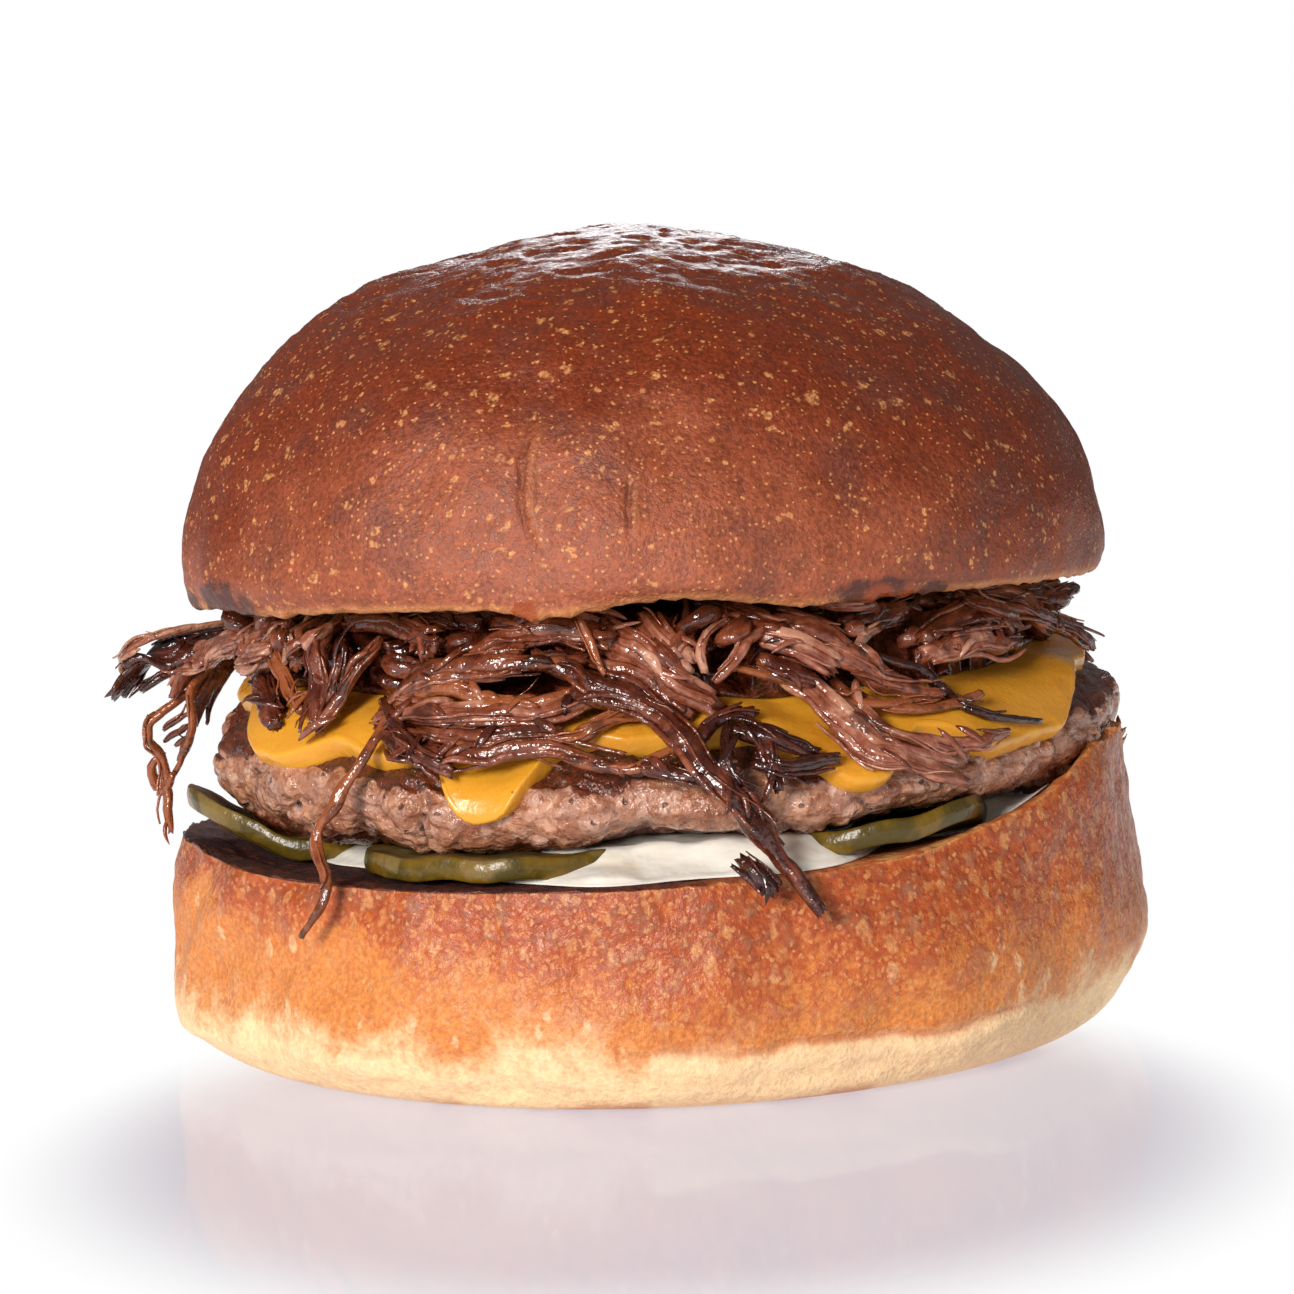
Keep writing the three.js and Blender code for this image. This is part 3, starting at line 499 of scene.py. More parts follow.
class Body:
    """A closed round body. form(deg, shares) gives its points, as rings by columns."""

    def __init__(self, columns, spans, form):
        deg = 90 + np.arange(columns) * 360 / columns
        shares = shares_of(spans)
        rings = len(shares) - 2
        ends = form(deg[:1], shares[[0, -1]])
        self.points = np.concatenate([form(deg, shares[1:-1]).reshape(-1, 3), ends.reshape(2, 3)])
        self.deg = np.append(np.tile(deg, rings), [0, 0])
        self.share = np.append(np.repeat(shares[1:-1], columns), shares[[0, -1]])
        around = np.arange(columns)
        after = np.roll(around, -1)
        start = np.arange(rings - 1)[:, None] * columns
        corners = [start + around, start + around + columns, start + after + columns, start + after]
        self.quads = np.stack(corners, -1).reshape(-1, 4)
        top, bottom = (np.full(columns, len(self.points) - back) for back in (2, 1))
        foot = (rings - 1) * columns
        lids = [np.stack([top, around, after], -1), np.stack([bottom, foot + after, foot + around], -1)]
        self.triangles = np.concatenate(lids)

    @property
    def height(self):
        return self.points[:, 2]

    @property
    def reach(self):
        """Distance of each point from the axis."""
        return np.hypot(self.points[:, 0], self.points[:, 1])

    def normals(self):
        total = np.zeros_like(self.points)
        for faces in (self.quads, self.triangles):
            corners = self.points[faces]
            way = np.cross(corners[:, 1] - corners[:, 0], corners[:, -1] - corners[:, 0])
            for i in range(faces.shape[1]):
                np.add.at(total, faces[:, i], way)
        return unit(total)

    def raise_by(self, heights):
        """Moves each point out along the surface's normal."""
        self.points = self.points + self.normals() * np.asarray(heights)[:, None]


def add_piece(name, shape, values, material, node):
    """Makes one object of the burger from a shape's points and faces. It stands for a solid node."""
    mesh = bpy.data.meshes.new(name)
    corners = np.append(shape.quads, shape.triangles).astype(np.int32)
    quads, triangles = len(shape.quads), len(shape.triangles)
    starts = np.append(np.arange(quads) * 4, quads * 4 + np.arange(triangles) * 3)
    mesh.vertices.add(len(shape.points))
    mesh.vertices.foreach_set("co", (shape.points * MILLIMETRE).astype(np.float32).ravel())
    mesh.loops.add(len(corners))
    mesh.loops.foreach_set("vertex_index", corners)
    mesh.polygons.add(len(starts))
    mesh.polygons.foreach_set("loop_start", starts.astype(np.int32))
    mesh.update(calc_edges=True)
    mesh.validate()
    mesh.shade_smooth()
    for key, value in values.items():
        value = np.asarray(value, np.float32)
        kind, field = ("FLOAT", "value") if value.ndim == 1 else ("FLOAT_VECTOR", "vector")
        mesh.attributes.new(key, kind, "POINT").data.foreach_set(field, value.ravel())
    mesh.materials.append(material)
    piece = bpy.data.objects.new(name, mesh)
    bpy.context.collection.objects.link(piece)
    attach(piece, "root")
    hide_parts(node)


# ---- materials ----


def linear(part):
    """The linear value of a screen value, both 0 to 1."""
    return part / 12.92 if part <= 0.04045 else ((part + 0.055) / 1.055) ** 2.4


def shade(red, green, blue):
    """A screen colour, 0 to 255, as the linear colour that shaders take."""
    return tuple(linear(part / 255) for part in (red, green, blue))


class Wire:
    """A value on its way between shader nodes, which takes part in ordinary arithmetic."""

    def __init__(self, paint, socket):
        self.paint = paint
        self.socket = socket

    def math(self, operation, *values):
        sockets = dict(enumerate(values))
        return self.paint.node("ShaderNodeMath", {"operation": operation}, sockets)

    def __add__(self, other):
        return self.math("ADD", self, other)

    def __radd__(self, other):
        return self.math("ADD", other, self)

    def __sub__(self, other):
        return self.math("SUBTRACT", self, other)

    def __rsub__(self, other):
        return self.math("SUBTRACT", other, self)

    def __mul__(self, other):
        return self.math("MULTIPLY", self, other)

    def __rmul__(self, other):
        return self.math("MULTIPLY", other, self)

    def magnitude(self):
        """The value without its sign."""
        return self.math("ABSOLUTE", self)

    def capped(self):
        """The value held between 0 and 1."""
        return self.math("MINIMUM", self.math("MAXIMUM", self, 0.0), 1.0)

    def ease(self, low, high):
        """0 below low and 1 above high, and smooth between."""
        sockets = {"Value": self, "From Min": low, "From Max": high}
        return self.paint.node("ShaderNodeMapRange", {"interpolation_type": "SMOOTHSTEP"}, sockets)


class Paint:
    """One material in the making. Its patterns are laid out in millimetres on the object."""

    def __init__(self, name, **look):
        self.material = bpy.data.materials.new(name)
        self.material.use_nodes = True
        self.tree = self.material.node_tree
        self.shader = self.tree.nodes["Principled BSDF"]
        for socket, value in look.items():
            self.shader.inputs[socket.replace("_", " ")].default_value = value
        self.place = self.scaled(self.node("ShaderNodeTexCoord", output="Object"), MILLIMETRES_IN_METRE)

    def node(self, kind, settings=None, sockets=None, output=0):
        """Adds a node: its settings first, then its sockets' values or links."""
        node = self.tree.nodes.new(kind)
        for key, value in (settings or {}).items():
            if key == "stops":
                while len(node.color_ramp.elements) < len(value):
                    node.color_ramp.elements.new(1.0)
                for stop, (position, colour) in zip(node.color_ramp.elements, value):
                    stop.position = position
                    stop.color = (*colour, 1.0)
            else:
                setattr(node, key, value)
        for key, value in (sockets or {}).items():
            self.feed(node.inputs[key], value)
        return Wire(self, node.outputs[output])

    def feed(self, socket, value):
        """Links a wire to a socket, or sets the socket to a plain value."""
        if isinstance(value, Wire):
            self.tree.links.new(value.socket, socket)
        elif socket.type == "RGBA" and len(value) == 3:
            socket.default_value = (*value, 1.0)
        else:
            socket.default_value = value

    def value(self, name):
        """One of the values that the mesh holds at each point."""
        return self.node("ShaderNodeAttribute", {"attribute_name": name}, output="Fac")

    def spot(self, name):
        """One of the places that the mesh holds at each point."""
        return self.node("ShaderNodeAttribute", {"attribute_name": name}, output="Vector")

    def noise(self, size, detail=2.0, rough=0.5, where=None):
        """Soft patches of a size, around 0.5."""
        sockets = {"Vector": where or self.place, "Scale": 1 / size, "Detail": detail, "Roughness": rough}
        return self.node("ShaderNodeTexNoise", None, sockets)

    def patches(self, size, detail=2.0, rough=0.5, where=None):
        """Soft patches that run all the way from 0 to 1."""
        return self.noise(size, detail, rough, where).ease(0.32, 0.68)

    def cells(self, size, where=None):
        """Distance to the middle of the nearest cell, and a number that differs in each cell."""
        near = self.node("ShaderNodeTexVoronoi", None, {"Vector": where or self.place, "Scale": 1 / size})
        colour = Wire(self, near.socket.node.outputs["Color"])
        return near, self.part(colour, "X")

    def part(self, vector, axis):
        """One of a vector's three parts."""
        return self.node("ShaderNodeSeparateXYZ", None, {0: vector}, axis)

    def scaled(self, vector, factor):
        """A vector or colour times one factor."""
        return self.node("ShaderNodeVectorMath", {"operation": "SCALE"}, {0: vector, "Scale": factor})

    def stretched(self, vector, by):
        """A vector times a factor for each of its parts."""
        return self.node("ShaderNodeVectorMath", {"operation": "MULTIPLY"}, {0: vector, 1: by})

    def warped(self, size, by):
        """The place, pushed about so that patterns lose their regular outlines."""
        push = self.node("ShaderNodeTexNoise", None, {"Vector": self.place, "Scale": 1 / size}, "Color")
        sockets = {0: push, 1: (by, by, by), 2: self.place}
        return self.node("ShaderNodeVectorMath", {"operation": "MULTIPLY_ADD"}, sockets)

    def specks(self, size, radius, chance, where=None):
        """Small soft spots: in a share of cells, a spot round the middle of each."""
        near, number = self.cells(size, where)
        return (1 - near.ease(radius * 0.6, radius)) * number.ease(1 - chance, 1 - chance + 0.02)

    def blend(self, mask, colour, other):
        """A colour where the mask is 0, and the other where it is 1."""
        settings = {"data_type": "RGBA"}
        return self.node("ShaderNodeMix", settings, {0: mask, 6: colour, 7: other}, 2)

    def ramp(self, value, stops):
        """Colours along a value, from stops of (value, colour)."""
        return self.node("ShaderNodeValToRGB", {"stops": stops}, {"Fac": value})

    def bump(self, height):
        """Bends the surface's shine and shade by a height in millimetres."""
        sockets = {"Strength": 1.0, "Distance": MILLIMETRE, "Height": height}
        self.feed(self.shader.inputs["Normal"], self.node("ShaderNodeBump", None, sockets, "Normal"))

    def finish(self, **sockets):
        """Feeds the shader's sockets and hands over the material."""
        for key, value in sockets.items():
            self.feed(self.shader.inputs[key.replace("_", " ")], value)
        return self.material


# ---- what a user may change ----


def length(name, description, default):
    return bpy.props.FloatProperty(
        name=name, description=description, default=default, min=0.0, unit="LENGTH"
    )


def tint(name, description, default):
    return bpy.props.FloatVectorProperty(
        name=name, description=description, default=default, min=0.0, max=1.0, size=3, subtype="COLOR"
    )


def amount(name, description, default):
    return bpy.props.FloatProperty(name=name, description=description, default=default, min=0.0)


def group(kind, name, description):
    return bpy.props.PointerProperty(type=kind, name=name, description=description)


class BunSettings(bpy.types.PropertyGroup):
    crown_radius: length("Crown radius", "Radius of the crown at its waist", 0.0523)
    crown_waist: length("Crown waist", "Height of the crown's widest line", 0.052)
    crown_apex: length("Crown apex", "Height of the crown's top", 0.0885)
    crown_underside: length("Crown underside", "Height of the crown's cut face", 0.0498)
    crown_rim: length("Crown rim", "Height of the crown's lower rim", 0.0493)
    crown_lean: amount("Crown lean", "How far the dome leans to the left", 0.036)
    heel_contact: length("Heel contact", "Radius of the flat that the heel rests on", 0.0482)
    heel_belly: length("Heel belly", "Radius of the heel where it is widest", 0.0552)
    heel_cut: length("Heel cut", "Radius of the heel's cut edge", 0.0533)
    heel_cut_height: length("Heel cut height", "Height of the heel's cut face", 0.0226)
    heel_belly_height: length("Heel belly height", "Height of the heel's widest line", 0.0096)
    heel_belly_rise: length("Heel belly rise", "How much higher that line is at the right", 0.0036)
    crust_top: tint("Crust top", "Darkest glossy crust", shade(121, 46, 14))
    crust_side: tint("Crust side", "Crust lower down the crown", shade(148, 73, 43))
    crust_rim: tint("Crust rim", "Crust along the crown's rim", shade(158, 83, 54))
    crust_shade: tint("Crust shade", "Mauve patches of the crust", shade(102, 54, 42))
    blister: tint("Blisters", "Small pale blisters in the crust", shade(220, 152, 92))
    ooze: tint("Ooze", "Juice and fat that cling to the crown's rim", shade(150, 62, 20))
    char: tint("Burnt", "Burnt patches of the rims", shade(66, 32, 30))
    heel_gold: tint("Heel gold", "Golden baked heel", shade(228, 140, 66))
    heel_red: tint("Heel red", "Darker baked heel near the cut", shade(181, 82, 38))
    heel_dark: tint("Heel dark", "Darkest baked specks near the cut", shade(112, 44, 24))
    heel_cream: tint("Heel cream", "Pale band low on the heel", shade(253, 214, 164))
    crumb: tint("Crumb", "Torn and cut crumb", shade(226, 160, 92))


class FillingSettings(bpy.types.PropertyGroup):
    patty_radius: length("Patty radius", "Radius of the patty at its waist", 0.0506)
    patty_top: length("Patty top", "Height of the patty's top", 0.043)
    patty_waist: length("Patty waist", "Height of the patty's widest line", 0.0295)
    patty_bottom: length("Patty bottom", "Height of the patty's underside", 0.0259)
    cheese_thickness: length("Cheese thickness", "Thickness of the melted slice", 0.0016)
    pickle_radius: length("Pickle radius", "Radius of a pickle chip", 0.0145)
    pickle_thickness: length("Pickle thickness", "Thickness of a pickle chip", 0.0023)
    sauce_radius: length("Sauce radius", "Radius of the sauce between its lobes", 0.043)
    sauce_thickness: length("Sauce thickness", "Thickness of the sauce", 0.0046)
    beef: tint("Beef", "Cooked minced beef", shade(206, 147, 113))
    beef_brown: tint("Browned beef", "Browner patches of the beef", shade(148, 92, 66))
    sear: tint("Seared beef", "Dark glossy crust of the patty", shade(50, 21, 14))
    sear_red: tint("Seared red", "Redder patches of the patty's crust", shade(108, 46, 24))
    cheese: tint("Cheese", "Melted cheese", shade(226, 157, 44))
    pickle_skin: tint("Pickle skin", "Dark skin of a chip", shade(76, 62, 14))
    pickle_flesh: tint("Pickle flesh", "Flesh of a chip", shade(130, 97, 23))
    pickle_pale: tint("Pickle pale", "Glassy patches of a chip", shade(148, 122, 74))
    sauce: tint("Sauce", "Creamy sauce", shade(255, 249, 236))


class MeatSettings(bpy.types.PropertyGroup):
    heap_radius: length("Heap radius", "Radius of the heap's inner body", 0.041)
    heap_top: length("Heap top", "Height of the heap's inner body", 0.0494)
    fibre_thickness: length("Fibre thickness", "Thickness of a loose fibre", 0.0004)
    char: tint("Burnt meat", "Darkest strands", shade(46, 15, 9))
    maroon: tint("Dark meat", "Dark glossy strands", shade(82, 31, 17))
    brown: tint("Brown meat", "Middle strands", shade(121, 59, 36))
    rose: tint("Pink meat", "Lighter strands", shade(154, 91, 70))
    pale: tint("Pale meat", "Lightest strands", shade(190, 136, 110))
    amber: tint("Amber fat", "Translucent amber strands", shade(156, 84, 42))


class StageSettings(bpy.types.PropertyGroup):
    camera_distance: length("Camera distance", "How far the camera stands in front", 0.3)
    camera_height: length("Camera height", "Height of the camera", 0.065)
    floor_side: length("Floor side", "Side of the square floor", 6.0)
    floor_middle: length("Floor middle", "How far before the burger the clear floor's middle is", 0.055)
    floor_clear: length("Clear floor", "How far from there the floor turns into the backdrop", 0.042)
    floor_fade: length("Floor fade", "How far from there the floor is all backdrop", 0.064)
    key_strength: amount("Key light", "Strength of the light at the front left", 10.0)
    fill_strength: amount("Fill light", "Strength of the light at the front right", 0.3)
    top_strength: amount("Top light", "Strength of the light over the back", 0.7)
    backdrop: amount("Backdrop", "Brightness of the backdrop as it lights the burger", 0.17)


class BurgerSettings(bpy.types.PropertyGroup):
    bun: group(BunSettings, "Bun", "Crown and heel")
    filling: group(FillingSettings, "Filling", "Between the bun halves")
    meat: group(MeatSettings, "Short rib", "Pulled short rib")
    stage: group(StageSettings, "Stage", "Floor, lights and camera")


# ---- bun crown ----


def crown_rim(bun, deg):
    """Height of the crown's wavy lower rim."""
    return mm(bun.crown_rim) + rises(deg, CROWN_RIM_WAVES)


def crown_swell(points):
    """Broad unevenness of the crown, the same as on the solid."""
    return 0.55 * relief(points, 30) + 0.2 * relief(points, 11)


def crown_form(bun, deg, shares):
    """Points of the crown: its dome, and below that its rim and cut face."""
    radius, waist, cut = mm(bun.crown_radius), mm(bun.crown_waist), mm(bun.crown_underside)
    dome = shares[shares <= CROWN_DOME_SHARE]
    fall = (dome / CROWN_DOME_SHARE * math.pi / 2)[:, None]
    high = polar(deg[None], radius * np.sin(fall), (mm(bun.crown_apex) - waist) * np.cos(fall))
    swell = crown_swell(high)
    high[..., :2] *= (1 + swell / radius * np.sin(fall))[..., None]
    high[..., 2] += waist - bun.crown_lean * high[..., 0] * np.cos(fall) + swell * np.cos(fall)
    rim = crown_rim(bun, deg)
    heights = [waist, waist - CROWN_WAIST_DROP, rim, rim + CROWN_RIM_BACK, cut, cut]
    reaches = [radius, *(radius - inset for inset in CROWN_INSETS), 0]
    rows = [np.broadcast_arrays(reach, height + 0 * deg) for reach, height in zip(reaches, heights)]
    way = (shares[shares > CROWN_DOME_SHARE] - CROWN_DOME_SHARE) / (1 - CROWN_DOME_SHARE)
    low = spline([np.stack(row, -1) for row in rows], way)
    swell = crown_swell(polar(deg, radius, 0)) * (1 - ease(0.1, 0.5, way))[:, None]
    return np.concatenate([high, polar(deg[None], low[..., 0] + swell, low[..., 1])])


def crown_relief(bun, body):
    """Heights of the crust's lumps, wrinkles and dents, its torn underside and the juice on its rim."""
    noise = Noise(SEEDS["crown"])
    points, height = body.points, body.height
    top = ease(*CROWN_WRINKLED, height)
    lift = 0.26 * noise.layered(points, 9, 4, 0.55) + 0.04 * noise.layered(points, 1.7, 2)
    wrinkles = 1 - np.abs(noise.layered(points * [0.7, 1.5, 2.4], 5, 3))
    lift += top * 0.4 * (wrinkles - 0.7) + top * 0.1 * noise.layered(points, 2.2, 2)
    for at, middle, wide, deep in CROWN_DENTS:
        aside = np.linalg.norm(polar(at, body.reach, height) - points, axis=-1)
        away = np.hypot(aside, height - middle) / wide * (1 + 0.25 * noise.at(points, wide))
        lift -= deep * bell(away, 1) * (1 - 0.35 * bell(away * 2.2, 1))
    lift = lift * (1 - ease(CROWN_RIM_SHARE, 0.8, body.share))
    torn = between(CROWN_RIM_SHARE - 0.01, CROWN_RIM_SHARE + 0.04, 0.8, CROWN_UNDER_SHARE, body.share)
    lift += torn * 0.24 * noise.layered(points, 1.5, 3, 0.6)
    return lift + crown_oozes(bun, body) * (0.55 + 0.6 * noise.at(points, 1.6))


def crown_oozes(bun, body):
    """How much juice and fat clings to the crown's rim, from 0 to 1."""
    low = bell(body.height - crown_rim(bun, body.deg), CROWN_OOZE_HEIGHT)
    low = low * (1 - ease(0.8, CROWN_UNDER_SHARE, body.share))
    return np.clip(rises(body.deg, CROWN_OOZES), 0, 1) * low


def burn_mask(body, edge, rows, noise):
    """1 in burnt patches that spread from an edge, each with an angle, a width and a height."""
    mask = 0.0
    for at, wide, high in rows:
        away = np.hypot(turn_between(body.deg, at) / wide, (body.height - edge) / high)
        mask = np.maximum(mask, 1 - ease(0.55, 1.15, away + 0.35 * noise.layered(body.points, 2.4, 2)))
    return mask


def crown_creases(paint, wobble):
    """How deep each point is in the curved creases at the front, and how high on the ridges beside."""
    across, height = paint.part(paint.place, "X"), paint.part(paint.place, "Z")
    front = 1 - paint.part(paint.place, "Y").ease(-20, 0)
    groove, ridge = 0.0, 0.0
    for side, middle, bend, half, wide in CROWN_CREASES:
        rise = height - middle
        off = across - side - bend * (rise * rise) + wobble
        along = (1 - rise.magnitude().ease(half * 0.3, half)) * front
        groove = groove + (1 - off.magnitude().ease(0, 1.3 * wide)) * along
        ridge = ridge + (1 - (off - 2 * wide).magnitude().ease(0, 1.8 * wide)) * along
    return groove, ridge


def crust_paint(bun):
    """Brown crust with mauve patches, pale blisters, burnt spots and a juicy rim."""
    paint = Paint("Domed crust", IOR=1.45)
    height = paint.part(paint.place, "Z")
    broad = paint.patches(11, 3)
    # Darker towards the flanks: partly the crust's own browner colour, partly painted shade, with the
    # middle moved left so that the right flank, away from the key lamp, darkens more.
    flank = (paint.part(paint.place, "X") + 6).magnitude().ease(10, 46)
    level = height + (broad - 0.5) * 7 + 13 * flank
    colour = paint.blend(level.ease(49, 58), bun.crust_rim, bun.crust_side)
    colour = paint.blend(level.ease(60, 74), colour, bun.crust_top)
    mottle = paint.patches(2.4, 4, 0.68)
    mauve = paint.noise(7, 2).ease(0.48, 0.7)
    colour = paint.blend(mauve * 0.5, colour, bun.crust_shade)
    grit = paint.patches(0.46, 2, 0.6)
    colour = paint.scaled(colour, 0.62 + 0.26 * mottle + 0.46 * grit)
    groove, ridge = crown_creases(paint, 0.4 * (mottle - 0.5))
    # Painted shade: the crease grooves are darkened towards the mauve crust colour.
    colour = paint.blend(groove.capped() * 0.35, colour, bun.crust_shade)
    dots = paint.specks(0.62, 0.3, 0.5, where=paint.warped(0.5, 0.4))
    few = paint.specks(1.5, 0.26, 0.4, where=paint.warped(0.9, 1.0))
    flakes = paint.specks(3.1, 0.22, 0.6, where=paint.stretched(paint.warped(1.4, 2.0), (0.8, 0.8, 1.3)))
    pale = (dots * (0.3 + 0.6 * mottle) + few * (0.3 + 0.5 * grit) + flakes * (0.1 + 0.7 * grit)).capped()
    colour = paint.blend(pale, colour, bun.blister)
    thin_rim = paint.value("rim") * (0.4 + 0.6 * mottle)
    # The pale line along the rim is the crust's own colour; the pale ridge beside each crease is a painted
    # highlight.
    colour = paint.blend((thin_rim + 0.2 * ridge).capped() * 0.7, colour, bun.blister)
    burn = (paint.value("burn") + 0.5 * (mottle - 0.5) + 0.4 * (grit - 0.5)).ease(0.25, 1.0)
    colour = paint.blend(burn * 0.88, colour, bun.char)
    colour = paint.blend(paint.value("crumb").ease(0.3, 0.7), colour, bun.crumb)
    ooze = paint.value("ooze").ease(0.25, 0.6)
    colour = paint.blend(ooze * 0.8, colour, bun.ooze)
    low = 1 - height.ease(70, 82)
    paint.bump(0.1 * mottle + 0.05 * grit * (0.5 + 0.5 * low) + 0.14 * ridge - 0.24 * groove)
    rough = 0.52 - 0.17 * height.ease(66, 82) + 0.14 * (grit - 0.5) + 0.1 * pale - 0.4 * ooze
    return paint.finish(Base_Color=colour, Roughness=rough)


class BURGER_OT_bun_crown(bpy.types.Operator):
    """Builds the domed bun crown with its blistered crust"""

    bl_idname = "burger.bun_crown"
    bl_label = "Bun crown"

    def execute(self, context):
        bun = context.scene.burger.bun
        body = Body(CROWN_COLUMNS, CROWN_SPANS, partial(crown_form, bun))
        body.raise_by(crown_relief(bun, body))
        rim = crown_rim(bun, body.deg)
        values = {
            "rim": (1 - ease(0.1, 0.9, body.height - rim)) * (1 - ease(0.77, 0.8, body.share)),
            "ooze": crown_oozes(bun, body),
            "burn": burn_mask(body, rim, CROWN_BURNS, Noise(SEEDS["crown_burns"])),
            "crumb": ease(0.82, 0.86, body.share),
        }
        add_piece("crown_crust", body, values, crust_paint(bun), "bun_crown")
        return {"FINISHED"}


# ---- bun heel ----


def heel_cut_height(bun, deg, radius):
    """Height of the heel's cut face, which slants and has lips at its edge."""
    lip = rises(deg, HEEL_LIPS) * ease(HEEL_LIP_START, mm(bun.heel_cut), radius)
    return mm(bun.heel_cut_height) + HEEL_CUT_SLOPE * radius * np.cos(np.radians(deg)) + lip


def heel_outline(bun, deg):
    """Distance from the axis and height of each step of the outline, at each angle."""
    belly_height = mm(bun.heel_belly_height) + mm(bun.heel_belly_rise) * np.cos(np.radians(deg))
    cut, belly, contact = mm(bun.heel_cut), mm(bun.heel_belly), mm(bun.heel_contact)
    top = heel_cut_height(bun, deg, cut)
    rows = [(share * cut, heel_cut_height(bun, deg, share * cut)) for share in HEEL_CUT_RINGS]
    rows += [(cut, top - 0.9), (mix(cut, belly, 0.62), mix(top, belly_height, 0.5)), (belly, belly_height)]
    rows += [(belly - 1.5, belly_height * 0.38), (contact, 0), (contact * 0.6, 0), (0, 0)]
    return np.stack([np.stack(np.broadcast_arrays(r + 0 * deg, z), -1) for r, z in rows])


def heel_form(bun, deg, shares):
    """Points of the heel, with the solid's broad unevenness on its side."""
    flat = spline(heel_outline(bun, deg), shares)
    radius, height = flat[..., 0], flat[..., 1]
    cut = mm(bun.heel_cut)
    on_side = ease(0.5, 4, height) * ease(cut * 0.6, cut, radius)
    around = polar(deg[None], radius, height)
    swell = 0.5 * relief(around * [1, 1, 1.5], 26) + 0.18 * relief(around, 10)
    return polar(deg[None], radius + swell * on_side, np.maximum(height, 0))


def heel_crease(body, noise):
    """Height of the wavy crease low on the heel, and where round the heel it shows."""
    flat = body.points * [1, 1, 0]
    height = HEEL_CREASE_HEIGHT + 1.3 * noise.at(flat, 11) + 0.5 * noise.at(flat, 4)
    height += 0.8 * np.cos(np.radians(body.deg + 30))
    shows = noise.at(flat, 22) + 0.5 * rises(body.deg, HEEL_CREASED) - 0.15
    return height, ease(-0.1, 0.3, shows)


def heel_relief(bun, body):
    """Heights of the crust's lumps, crease and folds, of the cut's pores and of the ragged edge."""
    noise = Noise(SEEDS["heel"])
    points, height, cut = body.points, body.height, mm(bun.heel_cut)
    past_edge = body.share - HEEL_EDGE_SHARE
    crease, shows = heel_crease(body, noise)
    above = height - crease
    lift = 0.34 * noise.layered(points, 10, 3) + 0.16 * noise.layered(points * [1, 1, 0.7], 3, 3)
    lift -= 0.4 * (bell(above, 0.4) - 0.7 * bell(above + 1.6, 1.3)) * shows
    for at, slant, wide, deep in HEEL_FOLDS:
        fold = turn_between(body.deg, at + slant * (HEEL_FOLD_TOP - height)) + 1.2 * noise.at(points, 5)
        lift += (0.4 * bell(fold + 1.7 * wide, wide) - bell(fold, wide)) * deep * ease(7, 13, height)
    on_side = ease(-0.01, 0.03, past_edge) * ease(0.3, 3, height)
    on_cut = (1 - ease(-0.02, 0.02, past_edge)) * ease(cut * 0.55, cut * 0.7, body.reach)
    lift = on_side * lift + on_cut * 0.35 * (noise.cells(points, 1.9)[0] - 0.6)
    return lift + 0.3 * bell(past_edge, 0.02) * noise.layered(points, 1.3, 2)


def tear_lip(body):
    """Makes the heel's lip ragged where it is torn."""
    noise = Noise(SEEDS["heel_tear"])
    torn = ease(0.2, 0.7, rises(body.deg, HEEL_TORN)) * bell(body.share - HEEL_EDGE_SHARE, 0.03)
    flat = body.points * [1, 1, 0.3]
    body.points[:, 2] += torn * (1.5 * noise.layered(flat, 2.6, 3, 0.7) - 0.3)
    body.points[:, :2] *= 1 + (torn * 0.022 * noise.layered(body.points, 1.7, 2))[:, None]


def heel_values(bun, body):
    """How toasted, pale, creased, cut, burnt and torn the heel is at each point."""
    noise = Noise(SEEDS["heel_bake"])
    deg, height, share = body.deg, body.height, body.share
    below = heel_cut_height(bun, deg, mm(bun.heel_cut)) - height
    reach = 3.6 + 9.4 * rises(deg, HEEL_BROWNED) + 3 * noise.layered(body.points * [1, 1, 0.4], 14, 3)
    crease, shows = heel_crease(body, Noise(SEEDS["heel"]))
    shows = shows * (1 - np.clip(rises(deg, HEEL_PALE_SOFTLY), 0, 1))
    above = height - crease - rises(deg, HEEL_PALE_HIGHER)
    above += (1 - shows) * (0.6 + 2.2 * noise.layered(body.points * [1, 1, 0.3], 9, 3))
    return {
        "toast": 1 - ease(0.2, 1.5, below / np.maximum(reach, 2)),
        "cream": 1 - ease(-1, 1, above / mix(4.4, 1.1, shows)),
        "crease": bell(height - crease, 0.35) * shows,
        "cut": 1 - ease(HEEL_EDGE_SHARE - 0.035, HEEL_EDGE_SHARE - 0.005, share),
        "edge": bell(share - HEEL_EDGE_SHARE, 0.016),
        "burn": np.clip(rises(deg, HEEL_SCORCHED), 0, 1),
        "torn": ease(0.2, 0.7, rises(deg, HEEL_TORN)) * (1 - ease(0.43, 0.5, share)),
    }


